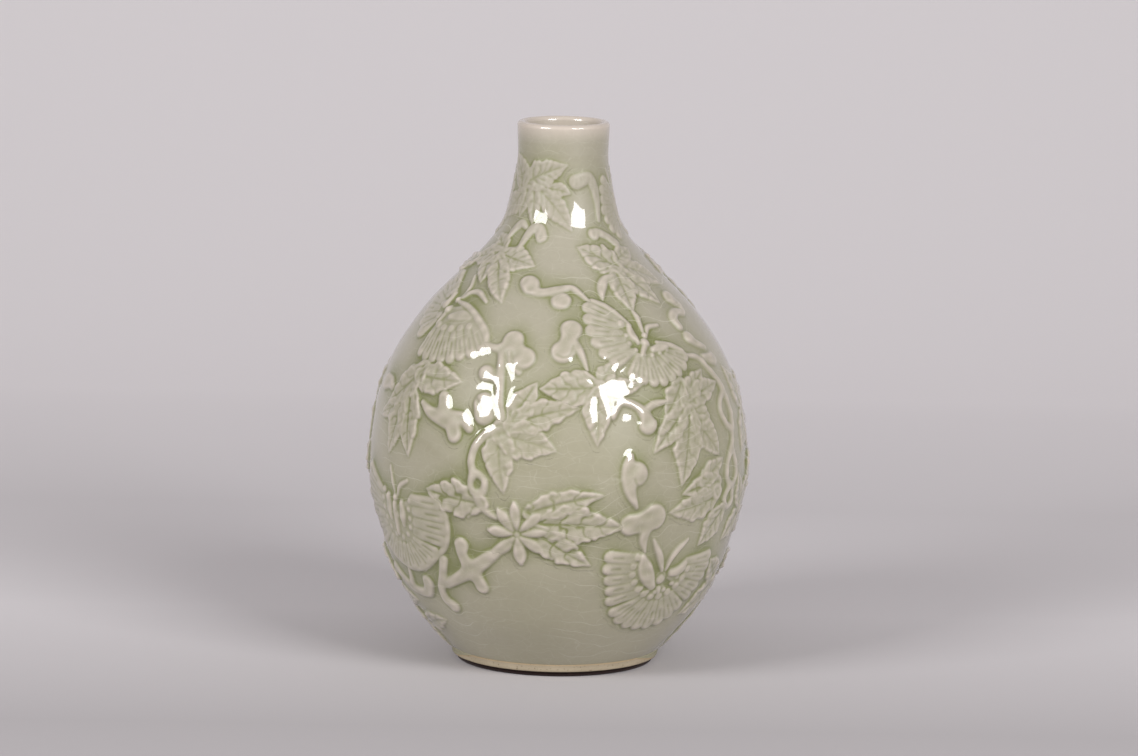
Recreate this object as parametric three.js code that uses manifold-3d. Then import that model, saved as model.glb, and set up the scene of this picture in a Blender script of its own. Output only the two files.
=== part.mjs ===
// A celadon bottle vase: a lower body, an upper body and a neck, thrown apart and luted together, on a
// turned foot ring and a felt pad, with butterflies, leaf sprays and tendrils pressed in clay and luted on.
// Millimetres, +Z up, the front of the vase towards -Y, origin at the middle of the pad's underside.
import * as THREE from "three";
import { mergeVertices } from "three/addons/utils/BufferGeometryUtils.js";
import Module from "manifold-3d";

// What the vase stands on
const FELT_RADIUS = 36.2;
const FELT_THICKNESS = 1.6;
const FOOT_BOTTOM_RADIUS = 37.2;
const FOOT_HEIGHT = 2.1;
const FOOT_RING_WIDTH = 9.0;
const FOOT_BEVEL = 0.6;
const JOINT_GAP = 0.3;

// The thrown wall, with heights measured from the table. Its sections meet at the belly and the shoulder.
const VASE_HEIGHT = 200.0;
const LIP_RADIUS = 17.0;
const NECK_RADIUS = 16.6;
const NECK_WAIST_BELOW_LIP = 11.0;
const SHOULDER_RADIUS = 32.4;
const SHOULDER_HEIGHT = 149.2;
const SHOULDER_SLOPE_DEG = 48.3;
const BELLY_RADIUS = 69.4;
const BELLY_HEIGHT = 74.4;
const WALL_FOOT_RADIUS = 38.2;
const WALL_FOOT_FLARE_DEG = 44.0;
const WALL_THICKNESS = 4.2;
const LIP_THICKNESS = 3.2;
const FLOOR_THICKNESS = 6.0;
const FLOOR_CORNER = 10.0;

// How full each curve of the outline is, as the reach of its handles over the height that it climbs
const NECK_FULLNESS = 0.42;
const FLARE_FULLNESS = 0.3;
const SHOULDER_FULLNESS = 0.28;
const UPPER_BELLY_FULLNESS = 0.58;
const LOWER_BELLY_FULLNESS = 0.34;
const FOOT_FULLNESS = 0.35;

// The relief, as heights over the wall
const SLIP_THICKNESS = 0.6;
const LEAST_SLIP = 0.1;
const LEAF_RIM = 1.9;
const LEAF_MIDRIB = 1.2;
const TENDRIL_RIM = 1.0;
const TENDRIL_CROWN = 1.8;
const CURL_CROWN = 2.3;
const WING_RIB = 2.1;
const WING_GROOVE = 1.3;
const WING_RIM = 1.0;
const WING_SCALLOP_SHARE = 0.92;
const BODY_RIM = 2.4;
const NEIGHBOUR_GAP = 0.4;

// The relief's layout divides the height of the vase into this many steps; widths use the same step
const LAYOUT_STEP_COUNT = 200;

// A leaf's outline as shares of its length and of its half width, and the share of the angle between two
// leaves that each of them may fill
const LEAF_OUTLINE = [[0.3, 0.86], [0.66, 0.92]];
const LEAF_ROOM_SHARE = 0.43;

// A butterfly's body and feelers as shares of its wing span, measured from the middle of its body
const BODY_LENGTH_SHARE = 0.36;
const BODY_WIDTH_SHARE = 0.15;
const FEELER_LENGTH_SHARE = 0.86;
const FEELER_DEG = 17;

// Facets
const SIDE_COUNT = 32;
const RING_COUNT_PER_CURVE = 5;
const WIDEST_NOTCH_DEG = 75;

const FOOT_BOTTOM = FELT_THICKNESS + JOINT_GAP;
const FOOT_TOP = FOOT_BOTTOM + FOOT_HEIGHT;
const WALL_BOTTOM = FOOT_TOP + JOINT_GAP;
const INNER_FLOOR = WALL_BOTTOM + FLOOR_THICKNESS;
const NECK_WAIST = VASE_HEIGHT - NECK_WAIST_BELOW_LIP;
const STEP = VASE_HEIGHT / LAYOUT_STEP_COUNT;
const radians = THREE.MathUtils.degToRad;
const degrees = THREE.MathUtils.radToDeg;

const kiln = await Module();
kiln.setup();

const glaze = new THREE.MeshStandardMaterial({ color: 0xa9a88a, roughness: 0.12, metalness: 0 });
const reliefGlaze = new THREE.MeshStandardMaterial({ color: 0xb9b4a0, roughness: 0.12, metalness: 0 });
const biscuit = new THREE.MeshStandardMaterial({ color: 0xc0ab8b, roughness: 0.85, metalness: 0 });
const felt = new THREE.MeshStandardMaterial({ color: 0x2e1a18, roughness: 1, metalness: 0 });

// The outline of the wall from its foot to the lip, as radius and height
function wallOutline() {
  const slope = radians(SHOULDER_SLOPE_DEG);
  const flare = radians(WALL_FOOT_FLARE_DEG);
  const lowerClimb = BELLY_HEIGHT - WALL_BOTTOM;
  const upperClimb = SHOULDER_HEIGHT - BELLY_HEIGHT;
  const neckClimb = NECK_WAIST - SHOULDER_HEIGHT;
  const foot = FOOT_FULLNESS * lowerClimb;
  const shoulder = SHOULDER_FULLNESS * upperClimb;
  const neck = FLARE_FULLNESS * neckClimb;
  const path = new THREE.Path();
  path.moveTo(WALL_FOOT_RADIUS, WALL_BOTTOM);
  path.bezierCurveTo(
    WALL_FOOT_RADIUS + foot * Math.sin(flare), WALL_BOTTOM + foot * Math.cos(flare),
    BELLY_RADIUS, BELLY_HEIGHT - LOWER_BELLY_FULLNESS * lowerClimb,
    BELLY_RADIUS, BELLY_HEIGHT,
  );
  path.bezierCurveTo(
    BELLY_RADIUS, BELLY_HEIGHT + UPPER_BELLY_FULLNESS * upperClimb,
    SHOULDER_RADIUS + shoulder * Math.cos(slope), SHOULDER_HEIGHT - shoulder * Math.sin(slope),
    SHOULDER_RADIUS, SHOULDER_HEIGHT,
  );
  path.bezierCurveTo(
    SHOULDER_RADIUS - neck * Math.cos(slope), SHOULDER_HEIGHT + neck * Math.sin(slope),
    NECK_RADIUS, NECK_WAIST - NECK_FULLNESS * neckClimb,
    NECK_RADIUS, NECK_WAIST,
  );
  path.lineTo(LIP_RADIUS, VASE_HEIGHT - LIP_THICKNESS / 2);
  return path;
}

const outline = wallOutline();
const outerRings = outline.getPoints(RING_COUNT_PER_CURVE);

function between(a, b, t) {
  return a + (b - a) * t;
}

// The faceted wall from the foot up: radius, height, length along the outline and outward normal
function wallStations() {
  const stations = outerRings.map((p, i) => {
    const ahead = outerRings[Math.min(i + 1, outerRings.length - 1)];
    const along = ahead.clone().sub(outerRings[Math.max(i - 1, 0)]).normalize();
    return { radius: p.x, height: p.y, arc: 0, out: along.y, up: -along.x };
  });
  for (let i = 1; i < stations.length; i++) {
    stations[i].arc = stations[i - 1].arc + outerRings[i].distanceTo(outerRings[i - 1]);
  }
  return stations;
}

const stations = wallStations();

// The wall at a given height, or at a given length along its outline
function wallWhere(key, value) {
  const found = stations.findIndex((s) => s[key] > value);
  const i = found < 0 ? stations.length - 1 : Math.max(found, 1);
  const [a, b] = [stations[i - 1], stations[i]];
  const t = (value - a[key]) / (b[key] - a[key]);
  return Object.fromEntries(Object.keys(a).map((name) => [name, between(a[name], b[name], t)]));
}

// The wall around a place of the layout laid flat: x runs round the vase, y up along its outline
function sheetAround([middleDeg]) {
  return {
    flat([azimuthDeg, step]) {
      const at = wallWhere("height", step * STEP);
      return new THREE.Vector2(radians(azimuthDeg - middleDeg) * at.radius, at.arc);
    },
    raised([x, y, lift]) {
      const at = wallWhere("arc", y);
      const azimuth = radians(middleDeg) + x / at.radius;
      const radius = at.radius + lift * at.out;
      return [Math.sin(azimuth) * radius, -Math.cos(azimuth) * radius, at.height + lift * at.up];
    },
  };
}

function signedVolume(positions, faces) {
  const corner = (i) => new THREE.Vector3(...positions[i]);
  return faces.reduce((sum, [a, b, c]) => sum + corner(a).dot(corner(b).cross(corner(c))), 0);
}

// A solid of a closed set of faces, whichever way round they were listed
function solidOf(positions, faces) {
  const facing = signedVolume(positions, faces) < 0 ? faces.map(([a, b, c]) => [a, c, b]) : faces;
  const geometry = new THREE.BufferGeometry();
  geometry.setAttribute("position", new THREE.Float32BufferAttribute(positions.flat(), 3));
  geometry.setIndex(facing.flat());
  return solidOfGeometry(geometry);
}

function solidOfGeometry(geometry) {
  const bare = geometry.clone();
  bare.deleteAttribute("normal");
  bare.deleteAttribute("uv");
  const merged = mergeVertices(bare, 1e-4);
  const index = merged.index.array;
  const corners = [];
  for (let i = 0; i < index.length; i += 3) {
    const [a, b, c] = index.slice(i, i + 3);
    if (a !== b && b !== c && c !== a) corners.push(a, b, c);
  }
  const mesh = new kiln.Mesh({
    numProp: 3,
    vertProperties: merged.attributes.position.array,
    triVerts: new Uint32Array(corners),
  });
  return new kiln.Manifold(mesh);
}

function geometryOf(solid) {
  const mesh = solid.getMesh();
  const geometry = new THREE.BufferGeometry();
  geometry.setAttribute("position", new THREE.Float32BufferAttribute(mesh.vertProperties, mesh.numProp));
  geometry.setIndex(Array.from(mesh.triVerts));
  geometry.computeVertexNormals();
  return geometry;
}

function joined(solids) {
  return solids.reduce((whole, solid) => whole.add(solid));
}

// How high a form stands and how deep it goes: as modelled, or right through a neighbour that it cuts
function liftsFor(grow) {
  const cuts = grow > 0;
  return { top: (lift) => (cuts ? 2 * CURL_CROWN : lift), root: cuts ? SLIP_THICKNESS / 2 : SLIP_THICKNESS };
}

// A band along a line of the sheet. Each stop has its place, half width and the lifts of its rims and crown.
function band(sheet, stops, grow) {
  const { top, root } = liftsFor(grow);
  const last = stops.length - 1;
  const across = stops.map((_, i) => {
    const ahead = stops[Math.min(i + 1, last)].at;
    return ahead.clone().sub(stops[Math.max(i - 1, 0)].at).normalize();
  });
  const positions = stops.flatMap(({ at, halfWidth, rim, crown }, i) => {
    const way = across[i];
    const end = (i === 0 ? -grow : 0) + (i === last ? grow : 0);
    const middle = at.clone().addScaledVector(way, end);
    const half = halfWidth + grow;
    const point = (share, lift) => sheet.raised([
      middle.x - way.y * half * share,
      middle.y + way.x * half * share,
      lift,
    ]);
    return [point(-1, top(rim)), point(0, top(crown)), point(1, top(rim)), point(1, root), point(-1, root)];
  });
  const around = 5;
  const faces = [[0, 1, 2], [0, 2, 3], [0, 3, 4]];
  for (let i = 0; i < last; i++) {
    for (let k = 0; k < around; k++) {
      const a = i * around + k;
      const b = i * around + ((k + 1) % around);
      faces.push([a, a + around, b + around], [a, b + around, b]);
    }
  }
  const end = last * around;
  faces.push([end, end + 2, end + 1], [end, end + 3, end + 2], [end, end + 4, end + 3]);
  return solidOf(positions, faces);
}

// Rays round a middle point, each a list of points from the middle outwards. The back has only their ends.
function rosette(sheet, middle, rays, grow) {
  const { top, root } = liftsFor(grow);
  const backRays = rays.map((ray) => ray.slice(-1));
  const positions = [];
  const faces = [];
  const layer = (layerRays, lift, turned) => {
    const first = positions.length;
    const rings = layerRays[0].length;
    const at = (i, k) => first + 1 + (i % layerRays.length) * rings + k;
    positions.push(sheet.raised([middle[0], middle[1], lift(middle[2])]));
    layerRays.flat().forEach(([x, y, z]) => positions.push(sheet.raised([x, y, lift(z)])));
    layerRays.forEach((_, i) => {
      const ring = [[first, at(i, 0), at(i + 1, 0)]];
      for (let k = 1; k < rings; k++) {
        ring.push([at(i, k - 1), at(i, k), at(i + 1, k)], [at(i, k - 1), at(i + 1, k), at(i + 1, k - 1)]);
      }
      faces.push(...(turned ? ring.map(([a, b, c]) => [a, c, b]) : ring));
    });
    return (i) => at(i, rings - 1);
  };
  const front = layer(rays, top, false);
  const back = layer(backRays, () => root, true);
  rays.forEach((_, i) => faces.push([front(i), back(i), back(i + 1)], [front(i), back(i + 1), front(i + 1)]));
  return solidOf(positions, faces);
}

// A point of the sheet at some bearing and distance from another, with its lift
function polar(middle, bearingDeg, distance, lift) {
  const bearing = radians(bearingDeg);
  return [middle.x + Math.cos(bearing) * distance, middle.y + Math.sin(bearing) * distance, lift];
}

// A round-backed tendril through a few places of the layout, each with the tendril's width there.
// An end that has a radius too is a curl: the tendril swells there to a round of that size.
function tendril(...points) {
  return (grow) => {
    const sheet = sheetAround(points[0]);
    const line = points.map((point) => sheet.flat(point));
    const stops = points.flatMap(([, , width, curlRadius = 0], i) => {
      const stop = (at, halfWidth, crown) => ({ at, halfWidth, rim: TENDRIL_RIM, crown });
      if (curlRadius === 0) return [stop(line[i], (width * STEP) / 2, TENDRIL_CROWN)];
      const reach = curlRadius * STEP;
      const inward = line[i === 0 ? 1 : i - 1].clone().sub(line[i]).normalize();
      const beside = (share) => line[i].clone().addScaledVector(inward, share * reach);
      const round = [
        stop(beside(-0.87), reach / 2, TENDRIL_RIM),
        stop(beside(0), reach, CURL_CROWN),
        stop(beside(0.87), Math.max(reach / 2, (width * STEP) / 2), TENDRIL_CROWN),
      ];
      return i === 0 ? round : round.reverse();
    });
    return band(sheet, stops, grow);
  };
}

// Leaves or petals round a hub, each given by its tip and width, with raised rims and a grooved midrib
function spray(hub, hubRadius, ...tips) {
  return (grow) => {
    const sheet = sheetAround(hub);
    const middle = sheet.flat(hub);
    const rim = hubRadius * STEP + grow;
    const room = grow > 0 ? 0.49 : LEAF_ROOM_SHARE;
    const leaves = tips.map((tip) => {
      const way = sheet.flat(tip).sub(middle);
      return { bearing: degrees(way.angle()), length: way.length() + grow, half: (tip[2] * STEP) / 2 + grow };
    }).sort((a, b) => a.bearing - b.bearing);
    const gaps = leaves.map(({ bearing }, i) => {
      const next = leaves[(i + 1) % leaves.length].bearing;
      return next > bearing ? next - bearing : next - bearing + 360;
    });
    const ray = (bearing, reach, lift) => [
      polar(middle, bearing, Math.max(rim, reach / 2), lift),
      polar(middle, bearing, Math.max(rim + SLIP_THICKNESS, reach), lift),
    ];
    const side = ({ length, half }, gap) => LEAF_OUTLINE.map(([along, across]) => {
      const widest = degrees(Math.atan2(across * half, along * length));
      const turn = Math.min(widest, room * gap * (along < 0.5 ? 1 : 0.7));
      return { turn, reach: (along * length) / Math.cos(radians(turn)) };
    });
    const rays = leaves.flatMap((leaf, i) => {
      const before = side(leaf, gaps[(i + leaves.length - 1) % leaves.length]);
      const after = side(leaf, gaps[i]);
      const free = gaps[i] - after[0].turn - side(leaves[(i + 1) % leaves.length], gaps[i])[0].turn;
      const notches = Math.ceil(free / WIDEST_NOTCH_DEG);
      return [
        ...before.map(({ turn, reach }) => ray(leaf.bearing - turn, reach, LEAF_RIM)),
        ray(leaf.bearing, leaf.length, LEAF_MIDRIB),
        ...after.reverse().map(({ turn, reach }) => ray(leaf.bearing + turn, reach, LEAF_RIM)),
        ...Array.from({ length: notches }, (_, k) => ray(
          leaf.bearing + after[1].turn + (free * (k + 1)) / (notches + 1), rim, LEAF_MIDRIB,
        )),
      ];
    });
    return rosette(sheet, [middle.x, middle.y, CURL_CROWN], rays, grow);
  };
}

// A butterfly seen from above: two pleated wings of ribs on one body, and two feelers.
// Each reach of a wing is an angle from the head and a share of the span.
const WING_REACHES = [[32, 0.8], [58, 1.06], [92, 1], [124, 0.84], [150, 0.94], [172, 0.88]];
const WING_RIB_COUNT = 4;
function butterfly(at, headDeg, span) {
  const edge = new THREE.SplineCurve(WING_REACHES.map(([angle, share]) => new THREE.Vector2(angle, share)));
  const wingRays = Array.from({ length: 2 * WING_RIB_COUNT + 1 }, (_, i) => {
    const { x: angle, y: share } = edge.getPoint(i / (2 * WING_RIB_COUNT));
    const onRib = i % 2 === 1;
    return { angle, share: onRib ? share : share * WING_SCALLOP_SHARE, lift: onRib ? WING_RIB : WING_GROOVE };
  });
  return (grow) => {
    const sheet = sheetAround(at);
    const middle = sheet.flat(at);
    const size = span * STEP;
    const bodyShare = (angle) => {
      const [cos, sin] = [Math.cos(radians(angle)), Math.sin(radians(angle))];
      const scale = Math.hypot(BODY_WIDTH_SHARE * cos, BODY_LENGTH_SHARE * sin);
      return (BODY_LENGTH_SHARE * BODY_WIDTH_SHARE) / scale;
    };
    const feelerHalfDeg = degrees(Math.atan2(TENDRIL_RIM + grow, BODY_LENGTH_SHARE * size));
    const bare = (angle) => ({ angle, share: bodyShare(angle) + 0.06, lift: WING_RIM });
    const half = [
      bare(FEELER_DEG - feelerHalfDeg),
      { angle: FEELER_DEG, share: FEELER_LENGTH_SHARE, lift: TENDRIL_CROWN },
      bare(FEELER_DEG + feelerHalfDeg),
      ...wingRays,
    ];
    const mirrored = half.map((ray) => ({ ...ray, angle: 360 - ray.angle })).reverse();
    const rays = [bare(0), ...half, bare(180), ...mirrored].map(({ angle, share, lift }) => {
      const body = bodyShare(angle) * size;
      const reach = share * size + grow;
      return [
        polar(middle, headDeg - angle, body, BODY_RIM),
        polar(middle, headDeg - angle, between(body, reach, 0.45), lift),
        polar(middle, headDeg - angle, reach, WING_RIM),
      ];
    });
    return rosette(sheet, [middle.x, middle.y, BODY_RIM], rays, grow);
  };
}

// One half of the relief. Where two pieces meet, the one listed first lies on top.
const RELIEF = {
  hook_neck: [tendril([18, 179.6, 3.6, 2.8], [31, 181.6, 4.2], [43.6, 174.6, 3], [41, 166.6, 1.2])],
  butterfly_lower_left: [butterfly([-57, 57], 90, 20)],
  butterfly_lower_right: [butterfly([36.5, 40], 88, 21.5)],
  butterfly_upper_left: [butterfly([-56, 131.5], 80, 17)],
  butterfly_upper_right: [butterfly([33.5, 123.5], 62, 16.5)],
  butterfly_neck: [butterfly([77, 169], 92, 9.2)],
  flower_spray: [
    spray([-12, 58.5], 3.2, [-18.4, 69, 5], [-11.6, 71.5, 4.6], [-11.2, 46, 5], [-20, 50.6, 5],
      [-23, 59.6, 4.6], [12, 73, 8.5], [20.5, 61, 11.5], [8.5, 46.5, 9.5]),
  ],
  leaf_spray_left: [spray([-54, 108], 3.5, [-35, 111, 10], [-67, 98, 11], [-50, 83, 11], [-62.5, 83, 9])],
  leaf_spray_centre: [
    spray([-19, 94.5], 3.2, [-7.5, 112, 9], [6, 104, 9], [-1, 88.5, 11], [-15.4, 73, 9]),
    tendril([-20, 93.5, 3], [-25, 87, 2.8], [-26.4, 79, 2.8], [-25.4, 70.4, 3.4]),
    spray([-27, 69.8], 2.6, [-43.5, 71.5, 9], [-35, 61.5, 7.5], [-19.5, 67, 3.6]),
  ],
  leaf_spray_high: [spray([12, 111.5], 3, [-6.5, 109.5, 11], [12.2, 90.5, 9.5], [19.6, 118.4, 7])],
  leaf_spray_right: [spray([45.5, 104.5], 3.4, [34, 100.5, 8], [31, 86.5, 9], [41, 75, 11], [56, 92, 10])],
  leaf_spray_low_right: [spray([56.5, 71.5], 3, [41, 77, 8], [36, 63.5, 9.5], [58, 83, 7])],
  leaf_spray_shoulder_left: [
    spray([-47, 153.5], 3, [-20, 150.8, 8], [-30, 138, 9], [-69, 147.5, 8]),
    tendril([-46, 154, 2.6], [-38, 157.5, 2.8], [-29, 161, 3], [-20, 161.6, 3, 2.4]),
  ],
  leaf_spray_shoulder_right: [
    spray([39, 149], 3, [12.5, 157, 9], [21, 141, 6], [35.5, 135.5, 8], [56, 137.6, 8], [69, 145, 9]),
    tendril([40, 150, 2.6], [49, 157, 3], [43, 163.4, 3.2], [32.5, 162.4, 3, 2.4]),
  ],
  leaf_spray_neck: [spray([-32, 174.5], 2.2, [5, 187, 9], [9, 164, 7], [-71, 187, 8], [-75, 167.5, 8])],
  leaf_spray_side: [
    spray([82, 96.5], 3, [74, 112.5, 8], [92.5, 108.5, 9], [75.5, 82, 9], [90, 79, 9.5]),
  ],
  leaf_spray_low_side: [
    spray([76, 60.5], 3, [86, 71.5, 8.5], [71.5, 74, 7.5], [87.5, 50.5, 9.5], [66.5, 51, 8]),
  ],
  leaf_spray_foot: [spray([71, 33], 2.8, [64, 21.5, 7.5], [63.5, 43, 7.5], [84, 25, 8.5])],
  scroll_shoulder: [
    tendril([-18.5, 145.4, 5, 4.5], [-8, 143.6, 4.4], [3, 143.4, 4.6], [10, 142, 2.6], [13.4, 139.4, 1.2]),
    tendril([1.5, 143.4, 5], [1.5, 139.8, 6, 4]),
  ],
  scroll_middle: [tendril([5, 131, 5, 4], [2.6, 123.4, 7, 4.4]), tendril([3, 124, 4], [9.4, 117.6, 1.2])],
  scroll_stem: [
    tendril([-28, 124.4, 1.6], [-24, 125, 3], [-18.4, 125.8, 4, 4]),
    tendril([-18.4, 125, 4], [-13, 120.6, 4, 4.2]),
    tendril([-20, 125, 3], [-21, 115, 3.2], [-21.4, 110.4, 3.4], [-24.2, 104.5, 4.6], [-24.2, 99.8, 2.4]),
    tendril([-21.4, 111.4, 3], [-26, 114.4, 3, 3.2]),
  ],
  scroll_left: [
    tendril([-48.4, 101.6, 1.8], [-42, 99.8, 4.4], [-36.4, 98, 6.4], [-29.6, 98, 4, 2.8]),
    tendril([-39.4, 105.4, 4, 3], [-36.4, 98.4, 5.4], [-33.2, 92.8, 5, 3.4]),
  ],
  scroll_right: [tendril([24.4, 111.4, 3.2, 3], [24.2, 105.6, 2.8], [28, 102.8, 3], [28.4, 97.6, 3, 4.2])],
  scroll_double: [
    tendril([21.2, 86, 2.4], [23, 80.4, 6.6], [23, 73, 3.2], [26, 64.6, 5]),
    tendril([22, 63, 6, 4.4], [30, 64.4, 6, 5.4]),
    tendril([28.8, 63, 5], [28.8, 51.4, 1.2]),
  ],
  scroll_low_left: [
    tendril([-20.4, 50.8, 2.6], [-25.4, 46.6, 4.6], [-31, 42, 6.4], [-40, 36.4, 6], [-44.6, 31.6, 4.6],
      [-38.6, 28, 3.4, 3]),
    tendril([-29.6, 52.8, 4, 3.2], [-29.4, 45, 5], [-25.8, 37.6, 4, 3.2]),
    tendril([-38.4, 47, 4, 2.8], [-38.8, 38, 4]),
  ],
  scroll_foot_left: [
    tendril([-51.4, 34.6, 4, 3], [-55.6, 29.6, 4.6], [-62, 31.4, 4.6], [-68.6, 38, 4, 3]),
    tendril([-59.4, 30.6, 3.6], [-73, 22.4, 4, 3]),
    tendril([-72, 22.6, 3], [-62, 21, 6.4], [-52, 18.2, 1.2]),
  ],
  vine_right: [
    tendril([63.6, 136.8, 4, 3.4], [66.6, 130.6, 3], [62, 125.6, 5.4], [63.4, 116.4, 3], [69, 105.6, 2.8],
      [69.2, 98, 2.6], [66.4, 90, 3], [65.4, 83.4, 2.8], [69.4, 77, 2.6], [66, 70.4, 2.2]),
    tendril([63.4, 117.6, 2.6], [69, 115.8, 3, 2.8]),
    tendril([68.6, 106, 2.4], [61.8, 98.6, 2.4], [66.4, 89.4, 2.2]),
    tendril([65.4, 84.2, 2.2], [61.6, 76.6, 2.4], [66, 69.8, 2]),
  ],
};

// The outside of the wall between two lengths along its outline, and its inside back down again
function shell(fromArc, toArc) {
  const rings = stations.filter(({ arc }) => arc > fromArc && arc < toArc);
  const run = [wallWhere("arc", fromArc), ...rings, wallWhere("arc", toArc)];
  const outside = run.map(({ radius, height }) => new THREE.Vector2(radius, height));
  const inside = run.map(({ radius, height, out, up }) => {
    const thinned = THREE.MathUtils.smoothstep(height, SHOULDER_HEIGHT, NECK_WAIST);
    const thickness = between(WALL_THICKNESS, LIP_THICKNESS, thinned);
    return new THREE.Vector2(radius - out * thickness, height - up * thickness);
  });
  return { outside, inside: inside.reverse() };
}

const bellyArc = wallWhere("height", BELLY_HEIGHT).arc;
const shoulderArc = wallWhere("height", SHOULDER_HEIGHT).arc;

// The lower body from its flat underside to the belly, with a round corner between floor and wall
function lowerBodyProfile() {
  const { outside, inside } = shell(0, bellyArc - JOINT_GAP / 2);
  const wall = inside.filter((p) => p.y > INNER_FLOOR + WALL_THICKNESS);
  const heel = wall.at(-1);
  const corner = heel.x - (heel.y - INNER_FLOOR);
  const round = new THREE.QuadraticBezierCurve(
    heel,
    new THREE.Vector2(corner, INNER_FLOOR),
    new THREE.Vector2(corner - FLOOR_CORNER, INNER_FLOOR),
  );
  return [
    new THREE.Vector2(0, WALL_BOTTOM),
    ...outside,
    ...wall,
    ...round.getPoints(3).slice(1),
    new THREE.Vector2(0, INNER_FLOOR),
  ];
}

function upperBodyProfile() {
  const { outside, inside } = shell(bellyArc + JOINT_GAP / 2, shoulderArc - JOINT_GAP / 2);
  return [...outside, ...inside, outside[0]];
}

// The neck, with its lip rolled over as a half round
function neckProfile() {
  const { outside, inside } = shell(shoulderArc + JOINT_GAP / 2, stations.at(-1).arc);
  const lip = new THREE.Path();
  const half = LIP_THICKNESS / 2;
  lip.absarc(LIP_RADIUS - half, VASE_HEIGHT - half, half, 0, Math.PI, false);
  return [...outside, ...lip.getPoints(4).slice(1, -1), ...inside, outside[0]];
}

function revolved(profile) {
  return new THREE.LatheGeometry(profile, SIDE_COUNT).rotateX(Math.PI / 2);
}

// The unglazed ring that the vase stands on, bevelled at its foot and luted under the floor
function footRingProfile() {
  const inside = FOOT_BOTTOM_RADIUS - FOOT_RING_WIDTH;
  return [
    new THREE.Vector2(inside, FOOT_BOTTOM),
    new THREE.Vector2(FOOT_BOTTOM_RADIUS - FOOT_BEVEL, FOOT_BOTTOM),
    new THREE.Vector2(FOOT_BOTTOM_RADIUS, FOOT_BOTTOM + FOOT_BEVEL),
    new THREE.Vector2(WALL_FOOT_RADIUS, FOOT_TOP),
    new THREE.Vector2(inside, FOOT_TOP),
    new THREE.Vector2(inside, FOOT_BOTTOM),
  ];
}

function feltProfile() {
  return [
    new THREE.Vector2(0, 0),
    new THREE.Vector2(FELT_RADIUS, 0),
    new THREE.Vector2(FELT_RADIUS, FELT_THICKNESS),
    new THREE.Vector2(0, FELT_THICKNESS),
  ];
}

// The room that the wall takes up with some of its slip, which trims the back of each piece of relief
function wallRoom() {
  const skin = stations.map(({ radius, height, out, up }) => {
    return new THREE.Vector2(radius + out * LEAST_SLIP, height + up * LEAST_SLIP);
  });
  const bottom = new THREE.Vector2(0, skin[0].y);
  const top = new THREE.Vector2(0, skin.at(-1).y);
  return solidOfGeometry(revolved([bottom, ...skin, top]));
}

function named(name, geometry, material) {
  const mesh = new THREE.Mesh(geometry, material);
  mesh.name = name;
  return mesh;
}

// Each piece of relief, cut back from the pieces that lie on top of it
function reliefGeometries() {
  const room = wallRoom();
  const above = [];
  return Object.entries(RELIEF).map(([name, forms]) => {
    const whole = joined(forms.map((form) => form(0)));
    const clear = above.reduce((left, other) => left.subtract(other), whole);
    above.push(joined(forms.map((form) => form(NEIGHBOUR_GAP))));
    return [name, geometryOf(clear.subtract(room))];
  });
}

const vase = new THREE.Group();
vase.add(named("felt_pad", revolved(feltProfile()), felt));
vase.add(named("foot_ring", revolved(footRingProfile()), biscuit));
vase.add(named("lower_body", revolved(lowerBodyProfile()), glaze));
vase.add(named("upper_body", revolved(upperBodyProfile()), glaze));
vase.add(named("neck", revolved(neckProfile()), glaze));

const relief = reliefGeometries();
for (const [side, turn] of [["front", 0], ["back", Math.PI]]) {
  const half = new THREE.Group();
  half.rotation.z = turn;
  relief.forEach(([name, geometry]) => half.add(named(`${name}_${side}`, geometry, reliefGlaze)));
  vase.add(half);
}

export default vase;
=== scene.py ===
"""A celadon bottle vase with pressed relief, glazed, on its foot ring and felt pad."""
import math

import bmesh
import bpy
import numpy as np
from mathutils import Matrix, Vector


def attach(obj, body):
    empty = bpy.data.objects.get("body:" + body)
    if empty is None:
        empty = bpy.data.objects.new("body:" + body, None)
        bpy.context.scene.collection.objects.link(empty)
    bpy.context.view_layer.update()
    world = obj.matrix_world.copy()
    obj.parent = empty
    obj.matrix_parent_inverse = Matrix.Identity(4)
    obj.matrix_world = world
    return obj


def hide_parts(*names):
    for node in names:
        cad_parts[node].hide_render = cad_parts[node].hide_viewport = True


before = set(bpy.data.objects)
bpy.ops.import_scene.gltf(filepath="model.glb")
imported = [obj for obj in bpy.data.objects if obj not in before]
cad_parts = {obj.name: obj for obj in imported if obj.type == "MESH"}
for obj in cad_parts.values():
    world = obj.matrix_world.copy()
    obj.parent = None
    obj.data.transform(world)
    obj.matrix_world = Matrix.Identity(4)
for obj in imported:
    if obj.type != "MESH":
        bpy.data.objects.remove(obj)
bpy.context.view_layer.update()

MM = 0.001

# The outside of the wall in mm, as radius and height: where its curves meet, and their handles in between
GLAZE_LINE = (38.2, 4.3)
BELLY = (69.4, 74.4)
NECK_ROOT = (32.4, 149.2)
NECK_WAIST = (16.6, 189.0)
LIP = (17.0, 198.4)
OUTLINE = [
    (GLAZE_LINE, (55.24, 21.95), (69.4, 50.57), BELLY),
    (BELLY, (69.4, 117.78), (46.33, 133.56), NECK_ROOT),
    (NECK_ROOT, (24.46, 158.12), (16.6, 172.28), NECK_WAIST),
    (NECK_WAIST, (16.73, 192.13), (16.87, 195.27), LIP),
]
LIP_CENTRE = (15.4, 198.4)
LIP_ROUND = 1.6
NECK_WALL = 3.2
BODY_WALL = 4.2
INNER_FLOOR = 10.3
FOOT_TOP = 4.0

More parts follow.
